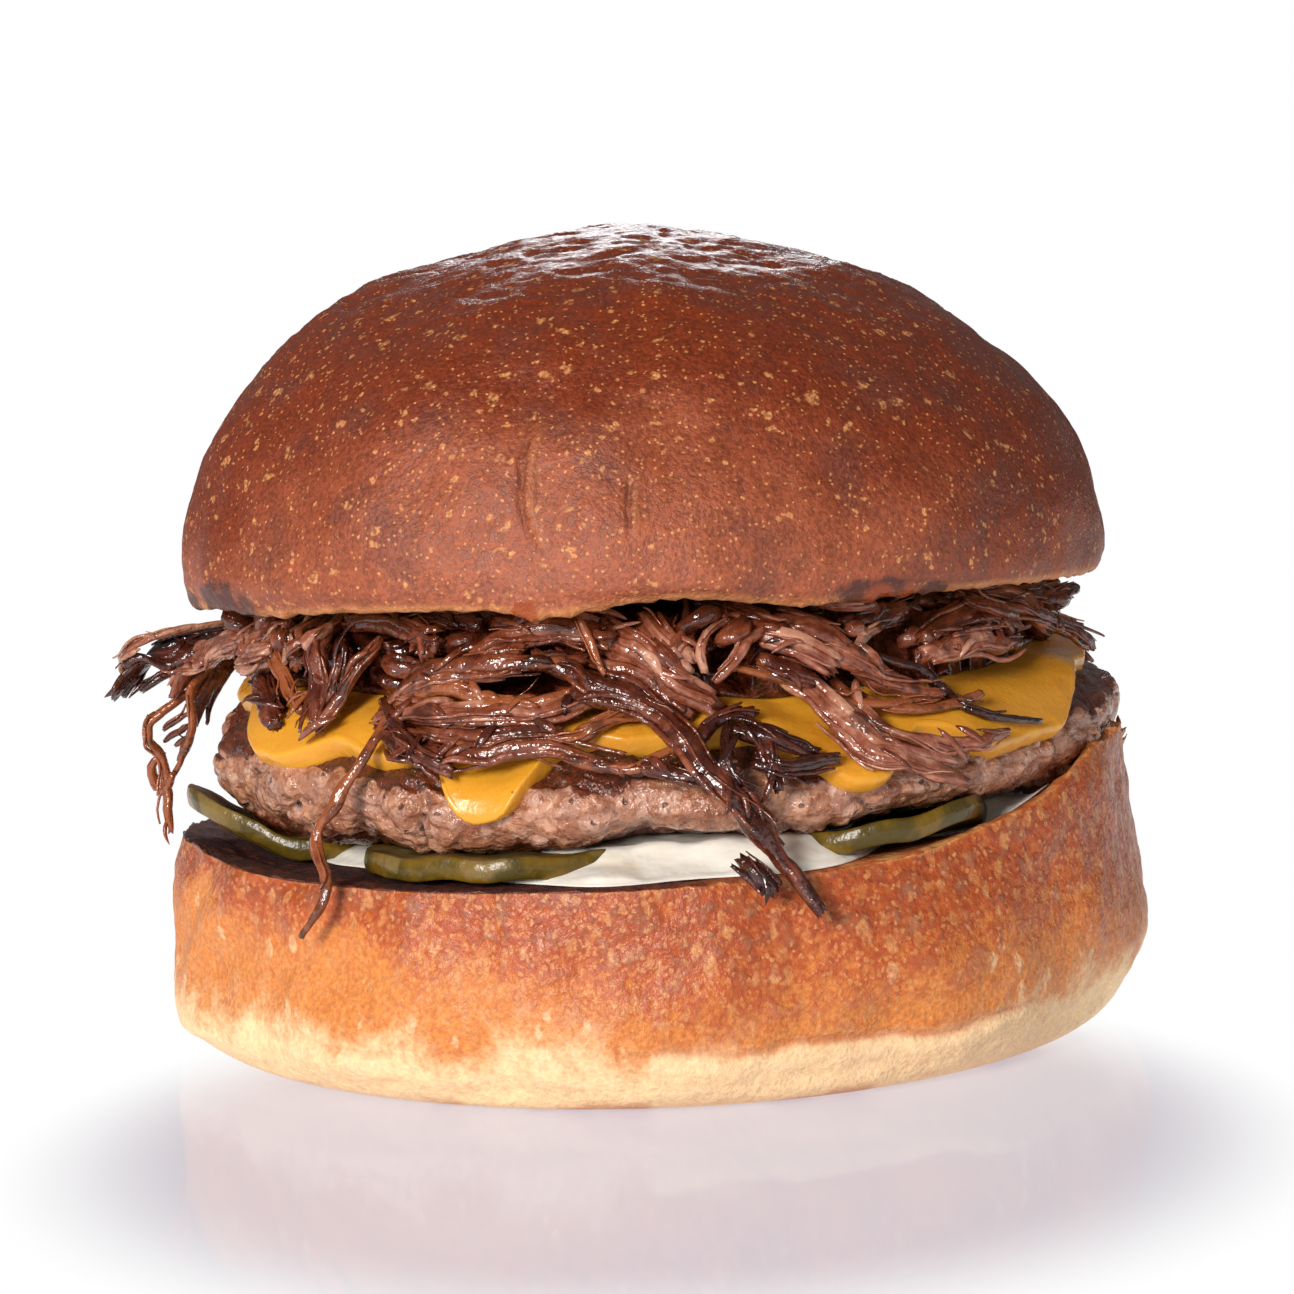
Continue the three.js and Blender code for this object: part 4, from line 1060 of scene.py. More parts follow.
def heel_paint(bun):
    """Baked crust that is pale at the foot, with a toasted cut and a torn lip."""
    paint = Paint("Heel crust", IOR=1.45)
    height = paint.part(paint.place, "Z")
    mottle = paint.patches(2.8, 4, 0.62)
    fine = paint.patches(0.95, 3, 0.6)
    upright = paint.stretched(paint.warped(1.2, 1.3), (1.0, 1.0, 0.55))
    cream = (paint.value("cream") + 0.4 * (mottle - 0.5) + 0.1 * (fine - 0.5)).ease(0.0, 1.0)
    baked = 1 - cream
    toast = paint.value("toast") + 0.4 * (mottle - 0.5) + 0.5 * (fine - 0.5)
    reddish = toast.ease(0.05, 0.95)
    colour = paint.blend(reddish, bun.heel_gold, bun.heel_red)
    colour = paint.blend(toast.ease(0.75, 1.4) * 0.8, colour, bun.heel_dark)
    streaks = paint.noise(1.5, 3, 0.6, where=upright).ease(0.5, 0.75)
    colour = paint.blend(streaks * 0.35, colour, bun.heel_red)
    colour = paint.blend(cream, colour, bun.heel_cream)
    # Fine pale specks: partly small blisters of the crust, partly painted glints on its glossy grain.
    dots = paint.specks(0.66, 0.5, 0.7, where=paint.warped(0.6, 0.7)) * baked
    colour = paint.blend(dots * (0.2 + 0.6 * fine), colour, bun.blister)
    blisters = paint.specks(2.7, 0.26, 0.8, where=upright)
    colour = paint.blend(blisters * (0.6 - 0.5 * reddish), colour, bun.heel_cream)
    ovals = paint.specks(1.7, 0.38, 0.75, where=upright) * baked
    colour = paint.blend(ovals * (0.3 + 0.5 * mottle), colour, bun.blister)
    grit = paint.patches(0.5, 2, 0.6)
    colour = paint.blend((1 - grit) * baked * 0.3, colour, bun.heel_red)
    colour = paint.scaled(colour, 0.82 + 0.1 * fine + 0.14 * grit)
    foot = (1 - height.ease(0.4, 2.4)) * paint.noise(9, 2).ease(0.5, 0.62)
    colour = paint.blend(foot * 0.6, colour, bun.heel_red)
    # Painted shade: the low crease is darkened towards the red crust.
    colour = paint.blend(paint.value("crease") * 0.6, colour, bun.heel_red)
    edge = paint.value("edge")
    colour = paint.blend(edge * 0.9, colour, paint.blend(mottle, bun.crumb, bun.heel_red))
    cut = paint.value("cut")
    browned = paint.blend(mottle, bun.crumb, bun.heel_red)
    charred = paint.blend(mottle * fine, bun.char, bun.heel_red)
    colour = paint.blend(cut, colour, paint.blend(paint.value("burn").ease(0.1, 0.5), browned, charred))
    scorch = paint.value("burn") * (edge * 1.6 + cut * 0.9) + 0.4 * (mottle - 0.5)
    blackest = tuple(0.5 * part for part in bun.char)
    burnt = paint.blend(fine * mottle, blackest, bun.heel_dark)
    colour = paint.blend(scorch.ease(0.3, 0.8) * 0.92, colour, burnt)
    torn = paint.value("torn") * 0.9
    colour = paint.blend(torn, colour, paint.blend(fine, bun.heel_dark, bun.heel_gold))
    paint.bump(0.12 * mottle + 0.07 * fine * (0.3 + 0.7 * baked) + 0.03 * grit)
    rough = 0.5 + 0.2 * (fine - 0.5) - 0.1 * reddish + 0.1 * cream + 0.45 * cut - 0.2 * cut * mottle
    return paint.finish(Base_Color=colour, Roughness=rough)


class BURGER_OT_bun_heel(bpy.types.Operator):
    """Builds the bun heel with its cut face, torn lip and low crease"""

    bl_idname = "burger.bun_heel"
    bl_label = "Bun heel"

    def execute(self, context):
        bun = context.scene.burger.bun
        body = Body(HEEL_COLUMNS, HEEL_SPANS, partial(heel_form, bun))
        body.raise_by(heel_relief(bun, body))
        tear_lip(body)
        body.points[:, 2] = np.maximum(body.height, 0)
        add_piece("heel_crust", body, heel_values(bun, body), heel_paint(bun), "bun_heel")
        return {"FINISHED"}


# ---- beef patty ----


def patty_plain(filling, deg, shares):
    """Distance from the axis and height, as rings by columns."""
    radius = mm(filling.patty_radius) + PATTY_REACH_RIGHT * np.cos(np.radians(deg))
    waist = mm(filling.patty_waist) + rises(deg, PATTY_WAIST_RISES)
    bottom = mm(filling.patty_bottom) + PATTY_BOTTOM_SLOPE * radius * np.cos(np.radians(deg))
    flat = spline(PATTY_PROFILE, np.clip(shares, 0, 1))
    up = flat[..., 1]
    height = np.where(up > 0, mix(waist, mm(filling.patty_top), up), mix(waist, bottom, -up))
    return radius * flat[..., 0], height


def patty_form(filling, deg, shares, lift=0.0):
    """Points on the patty, or lifted off it. shares has a row for each ring."""
    shares = shares if shares.ndim == 2 else shares[:, None] + 0 * deg
    radius, height = patty_plain(filling, deg, shares)
    step = 0.012
    before = patty_plain(filling, deg, shares - step)
    after = patty_plain(filling, deg, shares + step)
    run, fall = after[0] - before[0], after[1] - before[1]
    span = np.hypot(run, fall)
    crag = relief(polar(deg[None], radius, height), PATTY_CRAG_WAVELENGTH)
    out = lift + PATTY_CRAG * (1 - ease(PATTY_CRAG_FADES_FROM, 1, shares)) * crag
    return polar(deg[None], radius - out * fall / span, height + out * run / span)


def patty_relief(body):
    """Heights of the mince's surface, and by themselves its lumps and its fissures."""
    noise = Noise(SEEDS["patty"])
    points = body.points
    warped = points + 1.3 * np.stack([noise.layered(points + 40 * i, 3.5, 2) for i in range(3)], -1)
    first, second, number = noise.cells(warped, MINCE_LUMP)
    gap = bell(second - first, 0.12) * ease(-0.2, 0.25, noise.at(points, 6))
    lumps = 0.7 * (number - 0.5) * (1 - gap) + 0.4 * (1 - first**2) - 0.5 * gap
    first, second, number = noise.cells(warped + 50, MINCE_CRUMB)
    crumbs = 0.28 * (number - 0.5) + 0.28 * (1 - first**2) - 0.16 * bell(second - first, 0.16)
    fissures = bell(noise.layered(points * [1, 1, 0.35], 9, 2), 0.045)
    fissures = fissures * ease(0, 0.3, noise.at(points, 12))
    rough = 0.1 * noise.layered(points, 1.5, 2)
    shown = between(0.2, 0.3, 0.85, 0.95, body.share)
    return shown * (lumps + crumbs + rough - 0.6 * fissures) - 0.1, lumps, fissures


def patty_values(body, lumps, fissures):
    """How seared the patty is at each point, and how deep the point lies in the mince, where the paint
    darkens it as painted shade.
    """
    noise = Noise(SEEDS["patty_sear"])
    flat = body.points * [1, 1, 0.4]
    down = body.share + 0.05 * noise.layered(flat, 5, 3, 0.6) + 0.03 * noise.at(flat, 17)
    crust = 1 - ease(0.465, 0.5, down - 0.06 * rises(body.deg, PATTY_SEARED_DEEPER))
    return {
        "sear": np.clip(crust + 0.8 * ease(0.66, 0.76, down), 0, 1),
        "deep": np.clip(-1.1 * lumps + fissures, 0, 1),
    }


def beef_paint(filling):
    """Cooked mince with dark pits and a seared crust."""
    paint = Paint("Seared beef", IOR=1.45)
    broad = paint.patches(3.4, 3, 0.6)
    crumbs = paint.patches(0.8, 3, 0.65)
    near, number = paint.cells(1.7, where=paint.warped(1.1, 1.5))
    grain = 1 - near.ease(0.05, 0.8)
    colour = paint.blend(broad, filling.beef, filling.beef_brown)
    light = tuple(mix(part, 0.8, 0.2) for part in filling.beef)
    colour = paint.blend(number.ease(0.45, 0.9) * 0.6, colour, light)
    # Painted shade: the crevices between the mince's grains are darkened towards the browned beef.
    colour = paint.blend((1 - grain).ease(0.3, 0.9) * 0.5, colour, filling.beef_brown)
    colour = paint.blend(crumbs.ease(0.55, 1.0) * 0.55, colour, filling.sear_red)
    # Painted shade: points deep between the lumps and in the fissures are darkened towards the seared
    # colour.
    colour = paint.blend(paint.value("deep").ease(0.3, 1.0) * 0.8, colour, filling.sear)
    # Painted shade: small pits in the mince are darkened towards the seared colour.
    pits = paint.specks(1.7, 0.2, 0.4, where=paint.warped(0.7, 0.9))
    colour = paint.blend(pits * 0.75, colour, filling.sear)
    sear = (paint.value("sear") + 0.45 * (broad - 0.5) + 0.3 * (crumbs - 0.5)).ease(0.25, 0.7)
    scorched = paint.blend(crumbs, filling.sear, filling.sear_red)
    colour = paint.blend(sear * 0.95, colour, scorched)
    paint.bump(0.14 * grain + 0.08 * broad + 0.1 * crumbs - 0.2 * pits)
    rough = 0.22 - 0.12 * broad
    return paint.finish(Base_Color=colour, Roughness=rough, Specular_IOR_Level=0.8)


class BURGER_OT_beef_patty(bpy.types.Operator):
    """Builds the minced beef patty with its lumps, fissures and seared top"""

    bl_idname = "burger.beef_patty"
    bl_label = "Beef patty"

    def execute(self, context):
        filling = context.scene.burger.filling
        body = Body(PATTY_COLUMNS, PATTY_SPANS, partial(patty_form, filling))
        lift, lumps, fissures = patty_relief(body)
        body.raise_by(lift)
        values = patty_values(body, lumps, fissures)
        add_piece("patty_mince", body, values, beef_paint(filling), "beef_patty")
        return {"FINISHED"}


# ---- cheese ----


def cheese_edge(deg):
    """Share of the patty's outline that the cheese reaches to. Its drips have full round ends."""
    drips = 0
    for at, by, wide in CHEESE_DRIPS:
        drips = drips + by * np.exp(-np.abs(turn_between(deg, at) / (1.12 * wide)) ** 3)
    return CHEESE_EDGE + drips


def cheese_form(filling, deg, shares):
    """Points of the slice, which drapes over the patty's top and side."""
    way = way_out(shares)
    edge = cheese_edge(deg) + 0.022 * Noise(SEEDS["cheese_edge"]).layered(polar(deg, 50, 0), 9, 3)
    thick = GAP + mm(filling.cheese_thickness) + CHEESE_SUNK + ease(0.6, 0.9, way) * CHEESE_BEAD
    lift = np.where((shares <= 0.5)[:, None], thick * rounded(0.93, way) - CHEESE_SUNK, CHEESE_UNDERSIDE)
    return patty_form(filling, deg, edge * way**0.8, lift)


def cheese_paint(filling):
    """Melted cheese that lets a little light through."""
    paint = Paint("Melted cheese", IOR=1.45, Subsurface_Weight=0.25, Subsurface_Scale=0.003)
    paint.shader.inputs["Subsurface Radius"].default_value = (1.0, 0.6, 0.15)
    darker = tuple(part * factor for part, factor in zip(filling.cheese, (0.78, 0.66, 0.5)))
    colour = paint.blend(paint.noise(7, 3).ease(0.45, 0.7) * 0.6, filling.cheese, darker)
    colour = paint.blend(paint.specks(2.6, 0.07, 0.5) * 0.7, colour, filling.sear)
    paint.bump(0.14 * paint.noise(2.4, 3) + 0.03 * paint.noise(0.6, 2))
    rough = 0.3 + 0.3 * (paint.noise(3, 3) - 0.5)
    return paint.finish(Base_Color=colour, Roughness=rough)


class BURGER_OT_cheese(bpy.types.Operator):
    """Builds the melted cheese slice with its drips"""

    bl_idname = "burger.cheese"
    bl_label = "Cheese slice"

    def execute(self, context):
        filling = context.scene.burger.filling
        body = Body(CHEESE_COLUMNS, CHEESE_SPANS, partial(cheese_form, filling))
        waves = Noise(SEEDS["cheese"]).layered(body.points, 7, 2)
        body.raise_by(0.16 * waves * (body.share <= 0.46))
        add_piece("cheese_melt", body, {}, cheese_paint(filling), "cheese_slice")
        return {"FINISHED"}


# ---- pickles ----


def heel_floor(bun, deg, radius):
    """Height of the heel's cut face under a point."""
    return heel_cut_height(bun, deg, np.minimum(radius, HEEL_CUT_RINGS[-1] * mm(bun.heel_cut)))


def pickle_form(burger, chip, deg, shares):
    """Points of a ridged chip on the heel, which may curl up at its outer end."""
    at, out, curl = chip
    side = way_out(shares)
    wall = ease(PICKLE_WALL, 1.0, side)
    uneven = 0.5 * np.sin(np.radians(deg * 3 + at)) + 0.25 * np.sin(np.radians(deg * 7))
    flat = mm(burger.filling.pickle_radius) - PICKLE_ROUND + uneven
    radius = flat * np.minimum(side / PICKLE_WALL, 1) + PICKLE_ROUND * wall
    across = polar(deg[None], radius * (side > 0), 0)
    centre = polar(at, out, 0)
    x, y = centre[0] + across[..., 0], centre[1] + across[..., 1]
    reach, around = np.hypot(x, y), np.degrees(np.arctan2(y, x))
    lifted = curl * ease(PICKLE_CURL_START, PICKLE_CURL_START + PICKLE_CURL_RUN, reach)
    ridge = PICKLE_RIDGE * np.sin(2 * np.pi * across[..., 0] / PICKLE_RIDGE_PITCH)
    above = 0.5 + np.sign(0.5 - shares)[:, None] * 0.5 * (1 - wall**3)
    rest = heel_floor(burger.bun, around, reach) + GAP
    return np.stack([x, y, rest + mm(burger.filling.pickle_thickness) * above + lifted + ridge], -1)


def pickle_paint(filling):
    """Flesh with darker and glassy patches, and dark skin."""
    paint = Paint("Pickle chip", IOR=1.4)
    skin = paint.value("skin")
    broad = paint.noise(4, 3)
    colour = paint.blend(broad.ease(0.36, 0.6), filling.pickle_flesh, filling.pickle_skin)
    glassy = paint.noise(5.5, 2).ease(0.56, 0.64)
    colour = paint.blend(glassy * 0.7, colour, filling.pickle_pale)
    colour = paint.blend(skin * 0.35, colour, filling.pickle_skin)
    colour = paint.scaled(colour, 0.7 + 0.6 * paint.noise(0.9, 3, 0.6))
    paint.bump(0.2 * paint.noise(1.8, 3) + 0.05 * paint.noise(0.5, 2))
    rough = 0.6 - 0.33 * skin + 0.3 * (broad - 0.5)
    return paint.finish(Base_Color=colour, Roughness=rough, Specular_IOR_Level=0.6)


class BURGER_OT_pickles(bpy.types.Operator):
    """Builds the pickle chips that lie on the heel"""

    bl_idname = "burger.pickles"
    bl_label = "Pickle chips"

    def execute(self, context):
        burger = context.scene.burger
        material = pickle_paint(burger.filling)
        for i, (node, chip) in enumerate(PICKLES.items()):
            body = Body(PICKLE_COLUMNS, PICKLE_SPANS, partial(pickle_form, burger, chip))
            body.raise_by(0.1 * Noise(SEEDS["pickles"] + i).layered(body.points, 3, 2))
            values = {"skin": ease(0.4, 0.42, np.minimum(body.share, 1 - body.share))}
            add_piece(node.replace("pickle", "chip"), body, values, material, node)
        return {"FINISHED"}


# ---- sauce ----


def patty_underside(filling, deg, radius):
    """Height of the patty's underside at distances from the axis, and far up beyond its edge."""
    shares = np.linspace(PATTY_WAIST_SHARE, 1, 60)[:, None] + 0 * deg
    reach, height = patty_plain(filling, deg, shares)
    columns = zip(radius.T, reach[::-1].T, height[::-1].T)
    return np.stack([np.interp(*column, right=FAR_UP) for column in columns], -1)


def sauce_form(burger, deg, shares):
    """Points of the sauce, which fills the gap between the heel and the patty."""
    filling = burger.filling
    way = way_out(shares)
    turn = np.radians(deg)
    reach = mm(filling.sauce_radius) + rises(deg, SAUCE_LOBES)
    radius = (reach + 0.5 * np.sin(turn * 13) + 0.4 * np.sin(turn * 23 + 2)) * way**0.7
    floor = heel_floor(burger.bun, deg[None], radius) + GAP / 2
    lobes = Noise(SEEDS["sauce_lobes"]).layered(polar(deg[None], radius, 0), 11, 2)
    bulge = 0.5 * np.cos(turn * 9) * way - 1.6 * ease(0.7, 1, way) + 1.5 * lobes * ease(0.5, 0.8, way)
    top = np.minimum(
        floor + mm(filling.sauce_thickness) + bulge, patty_underside(filling, deg, radius) - SAUCE_CLEAR
    )
    thick = (np.maximum(top, floor + SAUCE_LEAST) - floor) * rounded(0.7, way)
    return polar(deg[None], radius, np.where((shares < 0.5)[:, None], floor + thick, floor))


def sauce_paint(filling):
    """Creamy sauce with warmer patches and a few dark specks."""
    paint = Paint("Creamy sauce", IOR=1.45, Subsurface_Weight=0.2, Subsurface_Scale=0.002)
    paint.shader.inputs["Subsurface Radius"].default_value = (1.0, 0.8, 0.6)
    warm = tuple(part * factor for part, factor in zip(filling.sauce, (0.93, 0.84, 0.7)))
    colour = paint.blend(paint.noise(5, 3).ease(0.5, 0.75) * 0.6, filling.sauce, warm)
    colour = paint.blend(paint.specks(3.2, 0.06, 0.4) * 0.7, colour, filling.sear)
    paint.bump(0.3 * paint.noise(2.6, 2))
    return paint.finish(Base_Color=colour, Roughness=0.26 + 0.1 * paint.noise(2, 2))


class BURGER_OT_sauce(bpy.types.Operator):
    """Builds the creamy sauce between the pickle chips"""

    bl_idname = "burger.sauce"
    bl_label = "Sauce"

    def execute(self, context):
        burger = context.scene.burger
        body = Body(SAUCE_COLUMNS, SAUCE_SPANS, partial(sauce_form, burger))
        waves = Noise(SEEDS["sauce"]).layered(body.points, 4.5, 2)
        body.raise_by(0.4 * waves * (body.share < 0.49))
        add_piece("sauce_spread", body, {}, sauce_paint(burger.filling), "sauce")
        return {"FINISHED"}


# ---- pulled short rib ----


class Seat:
    """The patty under its cheese, and the heel's side, that strands rest on."""

    def __init__(self, burger):
        deg = np.arange(360.0)
        shares = np.linspace(0, 1, SEAT_RINGS)
        covered = shares[:, None] < cheese_edge(deg) + 0.02
        cover = np.where(covered, GAP + mm(burger.filling.cheese_thickness) + 0.2, 0.1)
        forms = [patty_form(burger.filling, deg, shares, cover), heel_form(burger.bun, deg, shares)]
        self.outlines = [flattened(form).transpose(1, 0, 2) for form in forms]
        self.ceiling = mm(burger.bun.crown_rim) - 0.5

    def clear(self, path, clear):
        """Moves a path's points out until they stand clear of what they rest on."""
        deg = np.degrees(np.arctan2(path[:, 1], path[:, 0]))
        flat = flattened(path)
        rows = np.arange(len(flat))
        for outlines in self.outlines:
            outline = outlines[np.round(deg).astype(int) % 360]
            best = np.argmin(np.linalg.norm(outline - flat[:, None], axis=-1), axis=1)
            after, before = np.minimum(best + 1, SEAT_RINGS - 1), np.maximum(best - 1, 0)
            way = outline[rows, after] - outline[rows, before]
            normal = unit(np.stack([-way[:, 1], way[:, 0]], -1))
            out = np.sum((flat - outline[rows, best]) * normal, axis=-1)
            flat = flat + normal * np.maximum(clear - out, 0)[:, None]
        return polar(deg, flat[:, 0], np.minimum(flat[:, 1], self.ceiling - clear))


class Threads:
    """Tubes of meat that are joined into one mesh."""

    def __init__(self, seed):
        self.draw = np.random.default_rng(seed)
        self.noise = Noise(seed)
        self.points, self.quads, self.triangles = [], [], []
        self.values = {"tone": [], "amber": [], "grain": []}
        self.count = 0

    def tube(self, path, across, out, wide, thick, sides, tone, ridge, ragged=0.0):
        """A closed fibrous tube. wide and thick are given at each point of the path."""
        steps = len(path)
        turn = np.arange(sides) * 2 * math.pi / sides
        side = np.cos(turn)[None] * (wide / 2)[:, None]
        rise = np.sin(turn)[None] * (thick / 2)[:, None]
        along = np.concatenate([[0], np.cumsum(np.linalg.norm(np.diff(path, axis=0), axis=1))])
        start = 37.0 * self.draw.random()
        grain = np.stack([side, rise, np.broadcast_to((along + start)[:, None], side.shape)], -1)
        fibres = self.noise.at(grain * [1, 1, 0.11], 0.85)
        lumps = self.noise.layered(grain * [1, 1, 0.5], 2.2, 2)
        uneven = 1 + ridge * (0.65 * fibres + lumps)
        rings = path[:, None] + across[:, None] * (side * uneven)[..., None]
        rings = rings + out[:, None] * (rise * uneven)[..., None]
        if ragged:
            way = unit(np.gradient(path, axis=0))
            for row, sign in ((0, -1), (steps - 1, 1)):
                reach = sign * ragged * (self.draw.random(sides) - 0.35)
                rings[row] += way[row] * reach[:, None]
        self.close(rings, path[[0, -1]])
        self.values["grain"] += [grain.reshape(-1, 3), grain[[0, -1], 0]]
        light, fat = tone
        # The tone is lighter where the fibres and lumps push the surface out and darker in the grooves
        # between them, which is painted shade; the rest of its change along the strand is random.
        light = light - 0.05 + 0.12 * (fibres + lumps) + 0.16 * self.noise.at(grain * [0, 0, 1], 3.5)
        # The amber share rises at the strand's thin side edges, a painted glow of light through them, over
        # the fat's own uneven amber.
        fat = fat + 0.3 * self.noise.at(grain * [0.5, 0.5, 1], 2.4) + 0.25 * np.cos(turn)[None] ** 6
        for key, value in (("tone", light), ("amber", fat)):
            self.values[key] += [value.ravel(), value[[0, -1], 0]]

    def close(self, rings, ends):
        """Adds rings of points with faces between them, and closes them with a point at each end."""
        steps, sides = rings.shape[:2]
        around = self.count + np.arange(sides)
        after = np.roll(around, -1)
        start = np.arange(steps - 1)[:, None] * sides
        corners = [start + around, start + after, start + after + sides, start + around + sides]
        self.quads.append(np.stack(corners, -1).reshape(-1, 4))
        first, last = (np.full(sides, self.count + steps * sides + end) for end in (0, 1))
        foot = (steps - 1) * sides
        self.triangles.append(np.stack([first, after, around], -1))
        self.triangles.append(np.stack([last, foot + around, foot + after], -1))
        self.points += [rings.reshape(-1, 3), ends]
        self.count += steps * sides + 2

    def add(self, name, material):
        """Joins the tubes into one piece of the short rib."""
        self.points = np.concatenate(self.points)
        self.quads = np.concatenate(self.quads)
        self.triangles = np.concatenate(self.triangles)
        values = {key: np.concatenate(parts) for key, parts in self.values.items()}
        add_piece(name, self, values, material, "short_rib")


def frames_of(path, twist):
    """Directions along, across and out of a path at each point, turned by a twist in radians."""
    along = unit(np.gradient(path, axis=0))
    up = unit(path * [1, 1, 0]) + [0, 0, 0.8]
    out = unit(up - np.sum(up * along, axis=1, keepdims=True) * along)
    across = np.cross(along, out)
    turn = np.asarray(twist)[:, None]
    return along, across * np.cos(turn) + out * np.sin(turn), out * np.cos(turn) - across * np.sin(turn)


def wander(noise, steps, run, size, seed):
    """A smooth random walk along a strand, in two directions."""
    at = np.stack([np.linspace(0, run, steps), np.full(steps, 9.3 * seed), np.full(steps, 4.1)], -1)
    return noise.at(at, size), noise.at(at + [0, 31.7, 17.3], size)


def tapered(steps, least, blunt):
    """Thickness at each step of a thread, 1 in its middle and less towards its ends."""
    share = np.clip(np.linspace(0, 1, steps), blunt, 1 - blunt)
    return least + (1 - least) * np.sin(math.pi * share) ** 0.5


def stretch_of(draw, steps, most):
    """A random stretch of a strand, with up to a share left off at each end."""
    begin = int(draw.random() * most * steps)
    return slice(begin, steps - int(draw.random() * most * steps))


def lay_strand(bundles, fibres, seat, tone, wide, thick, route, loose=1.0):
    """One pulled strand: its fibrous body, thinner strands that split off it, and loose fibres."""
    draw, noise = bundles.draw, bundles.noise
    rough = polar(*np.array(route, float).T)
    run = np.linalg.norm(np.diff(rough, axis=0), axis=1).sum()
    steps = max(int(run / STRAND_STEP), 8)
    path = seat.clear(spline(rough, np.linspace(0, 1, steps)), thick * 0.4)
    path = path + 0.3 * noise.shift(path, 4.5, 20)
    path = path + 0.16 * noise.shift(path, 1.8, 20)
    twist = 1.1 * wander(noise, steps, run, 8, draw.random() * 50)[0]
    along, across, out = frames_of(path, twist)
    swell = tapered(steps, 0.5, 0.02) * (1 + 0.3 * noise.at(path + 70, 3.4))
    sides = 24 if wide > 2.3 else 18 if wide > 1.3 else 12
    tone = [np.clip(part + draw.normal(0, 0.06), 0, 1) for part in tone]
    body = wide * (0.82 if wide > 1.6 else 1), thick * 0.9
    bundles.tube(path, across, out, body[0] * swell, body[1] * swell, sides, tone, 0.24, 0.35 * wide)
    splits, shreds = round(1.15 * wide * min(loose, 1)), round(run / 6 * loose)
    if wide > 1.3:
        for _ in range(splits):
            lay_split(bundles, path, across, out, wide, thick, tone, run)
        for _ in range(shreds):
            lay_shred(bundles, path, along, across, out, wide, thick, tone)
    for _ in range(round((1 + wide) * loose)):
        lay_fibre(fibres, path, across, out, wide, thick, tone, run)


def lay_split(bundles, path, across, out, wide, thick, tone, run):
    """A thinner strand that lies on a strand's side and leaves it towards one end."""
    draw = bundles.draw
    steps = len(path)
    turn = draw.uniform(-0.5, math.pi + 0.5)
    stray, rise = wander(bundles.noise, steps, run, 5, draw.random() * 90)
    away = ease(0.45, 1, np.linspace(0, 1, steps) if draw.random() < 0.5 else np.linspace(1, 0, steps))
    leave = draw.uniform(0, 0.9)
    sideways = math.cos(turn) * wide * (0.42 + 0.55 * leave * away) + 0.35 * stray
    outward = math.sin(turn) * thick * (0.4 + 0.3 * leave * away) + 0.25 * rise
    line = path + across * sideways[:, None] + out * outward[:, None]
    rows = stretch_of(draw, steps, 0.35)
    line = line[rows]
    if len(line) < 6:
        return
    size = wide * draw.uniform(0.16, 0.34) + 0.15
    taper = tapered(len(line), 0.4, 0.03) * (1 + 0.3 * bundles.noise.at(line, 2))
    light, fat = tone
    tone = light + draw.normal(0.02, 0.1), fat
    flat = draw.uniform(0.5, 1)
    bundles.tube(line, across[rows], out[rows], size * taper, size * flat * taper, 9, tone, 0.25, 0.4)


def lay_shred(bundles, path, along, across, out, wide, thick, tone):
    """A short torn shred that lies aslant on a strand."""
    draw = bundles.draw
    at = int(draw.integers(1, len(path) - 1))
    side = draw.uniform(-0.45, 0.45)
    slant = draw.uniform(0.2, 1.1) * draw.choice([-1, 1])
    way = along[at] * math.cos(slant) + across[at] * math.sin(slant)
    aside = np.cross(way, out[at])
    middle = path[at] + across[at] * wide * side + out[at] * thick * 0.45
    reach = draw.uniform(1.2, 2.6)
    share = np.linspace(-1, 1, 8)
    bend = draw.uniform(-0.5, 0.5)
    line = middle + way * (reach * share)[:, None] + out[at] * (0.1 - 0.5 * share**2)[:, None]
    line = line + aside * (bend * share**2)[:, None]
    size = draw.uniform(0.5, 1.1) * np.sqrt(1.05 - share**2)
    sideways, outward = (np.broadcast_to(vector, line.shape) for vector in (unit(aside), out[at]))
    light, fat = tone
    tone = light + draw.normal(0, 0.14), fat
    bundles.tube(line, sideways, outward, size, 0.7 * size, 9, tone, 0.3, 0.3)


def lay_fibre(fibres, path, across, out, wide, thick, tone, run):
    """A hair-thin fibre on a strand, which may stand off its end."""
    draw = fibres.draw
    steps = len(path)
    turn = draw.uniform(-0.4, math.pi + 0.4)
    stray, rise = wander(fibres.noise, steps, run, 3.5, draw.random() * 90)
    sideways = math.cos(turn) * wide / 2 + 0.45 * stray
    outward = math.sin(turn) * thick / 2 + 0.3 * rise + 0.05
    line = path + across * sideways[:, None] + out * outward[:, None]
    rows = stretch_of(draw, steps, 0.55)
    line, across, out = line[rows], across[rows], out[rows]
    if len(line) < 5:
        return
    size = mm(bpy.context.scene.burger.meat.fibre_thickness) * draw.uniform(0.45, 1.3)
    size = size * tapered(len(line), 0.35, 0.03)
    lifted = 0.9 * draw.random() * ease(0.7, 1, np.linspace(0, 1, len(line)))[:, None]
    line = line + out * lifted + across * lifted * draw.normal()
    light, fat = tone
    fibres.tube(line, across, out, size, size, 5, (light + 0.1, fat + 0.1), 0.0)


def loose_routes(draw, count, first, last):
    """Strands that drape over the cheese, one after another round the heap."""
    for i in range(count):
        at = mix(first, last, (i + draw.random()) / count)
        lean = draw.uniform(-16, 16)
        start = draw.uniform(38, 43)
        reach = draw.uniform(48, 53.5)
        end = draw.uniform(33, 44)
        yield [
            [at, start, draw.uniform(45, 48)],
            [at + lean * 0.5, mix(start, reach, 0.55), draw.uniform(43, 46)],
            [at + lean, reach, end],
        ]


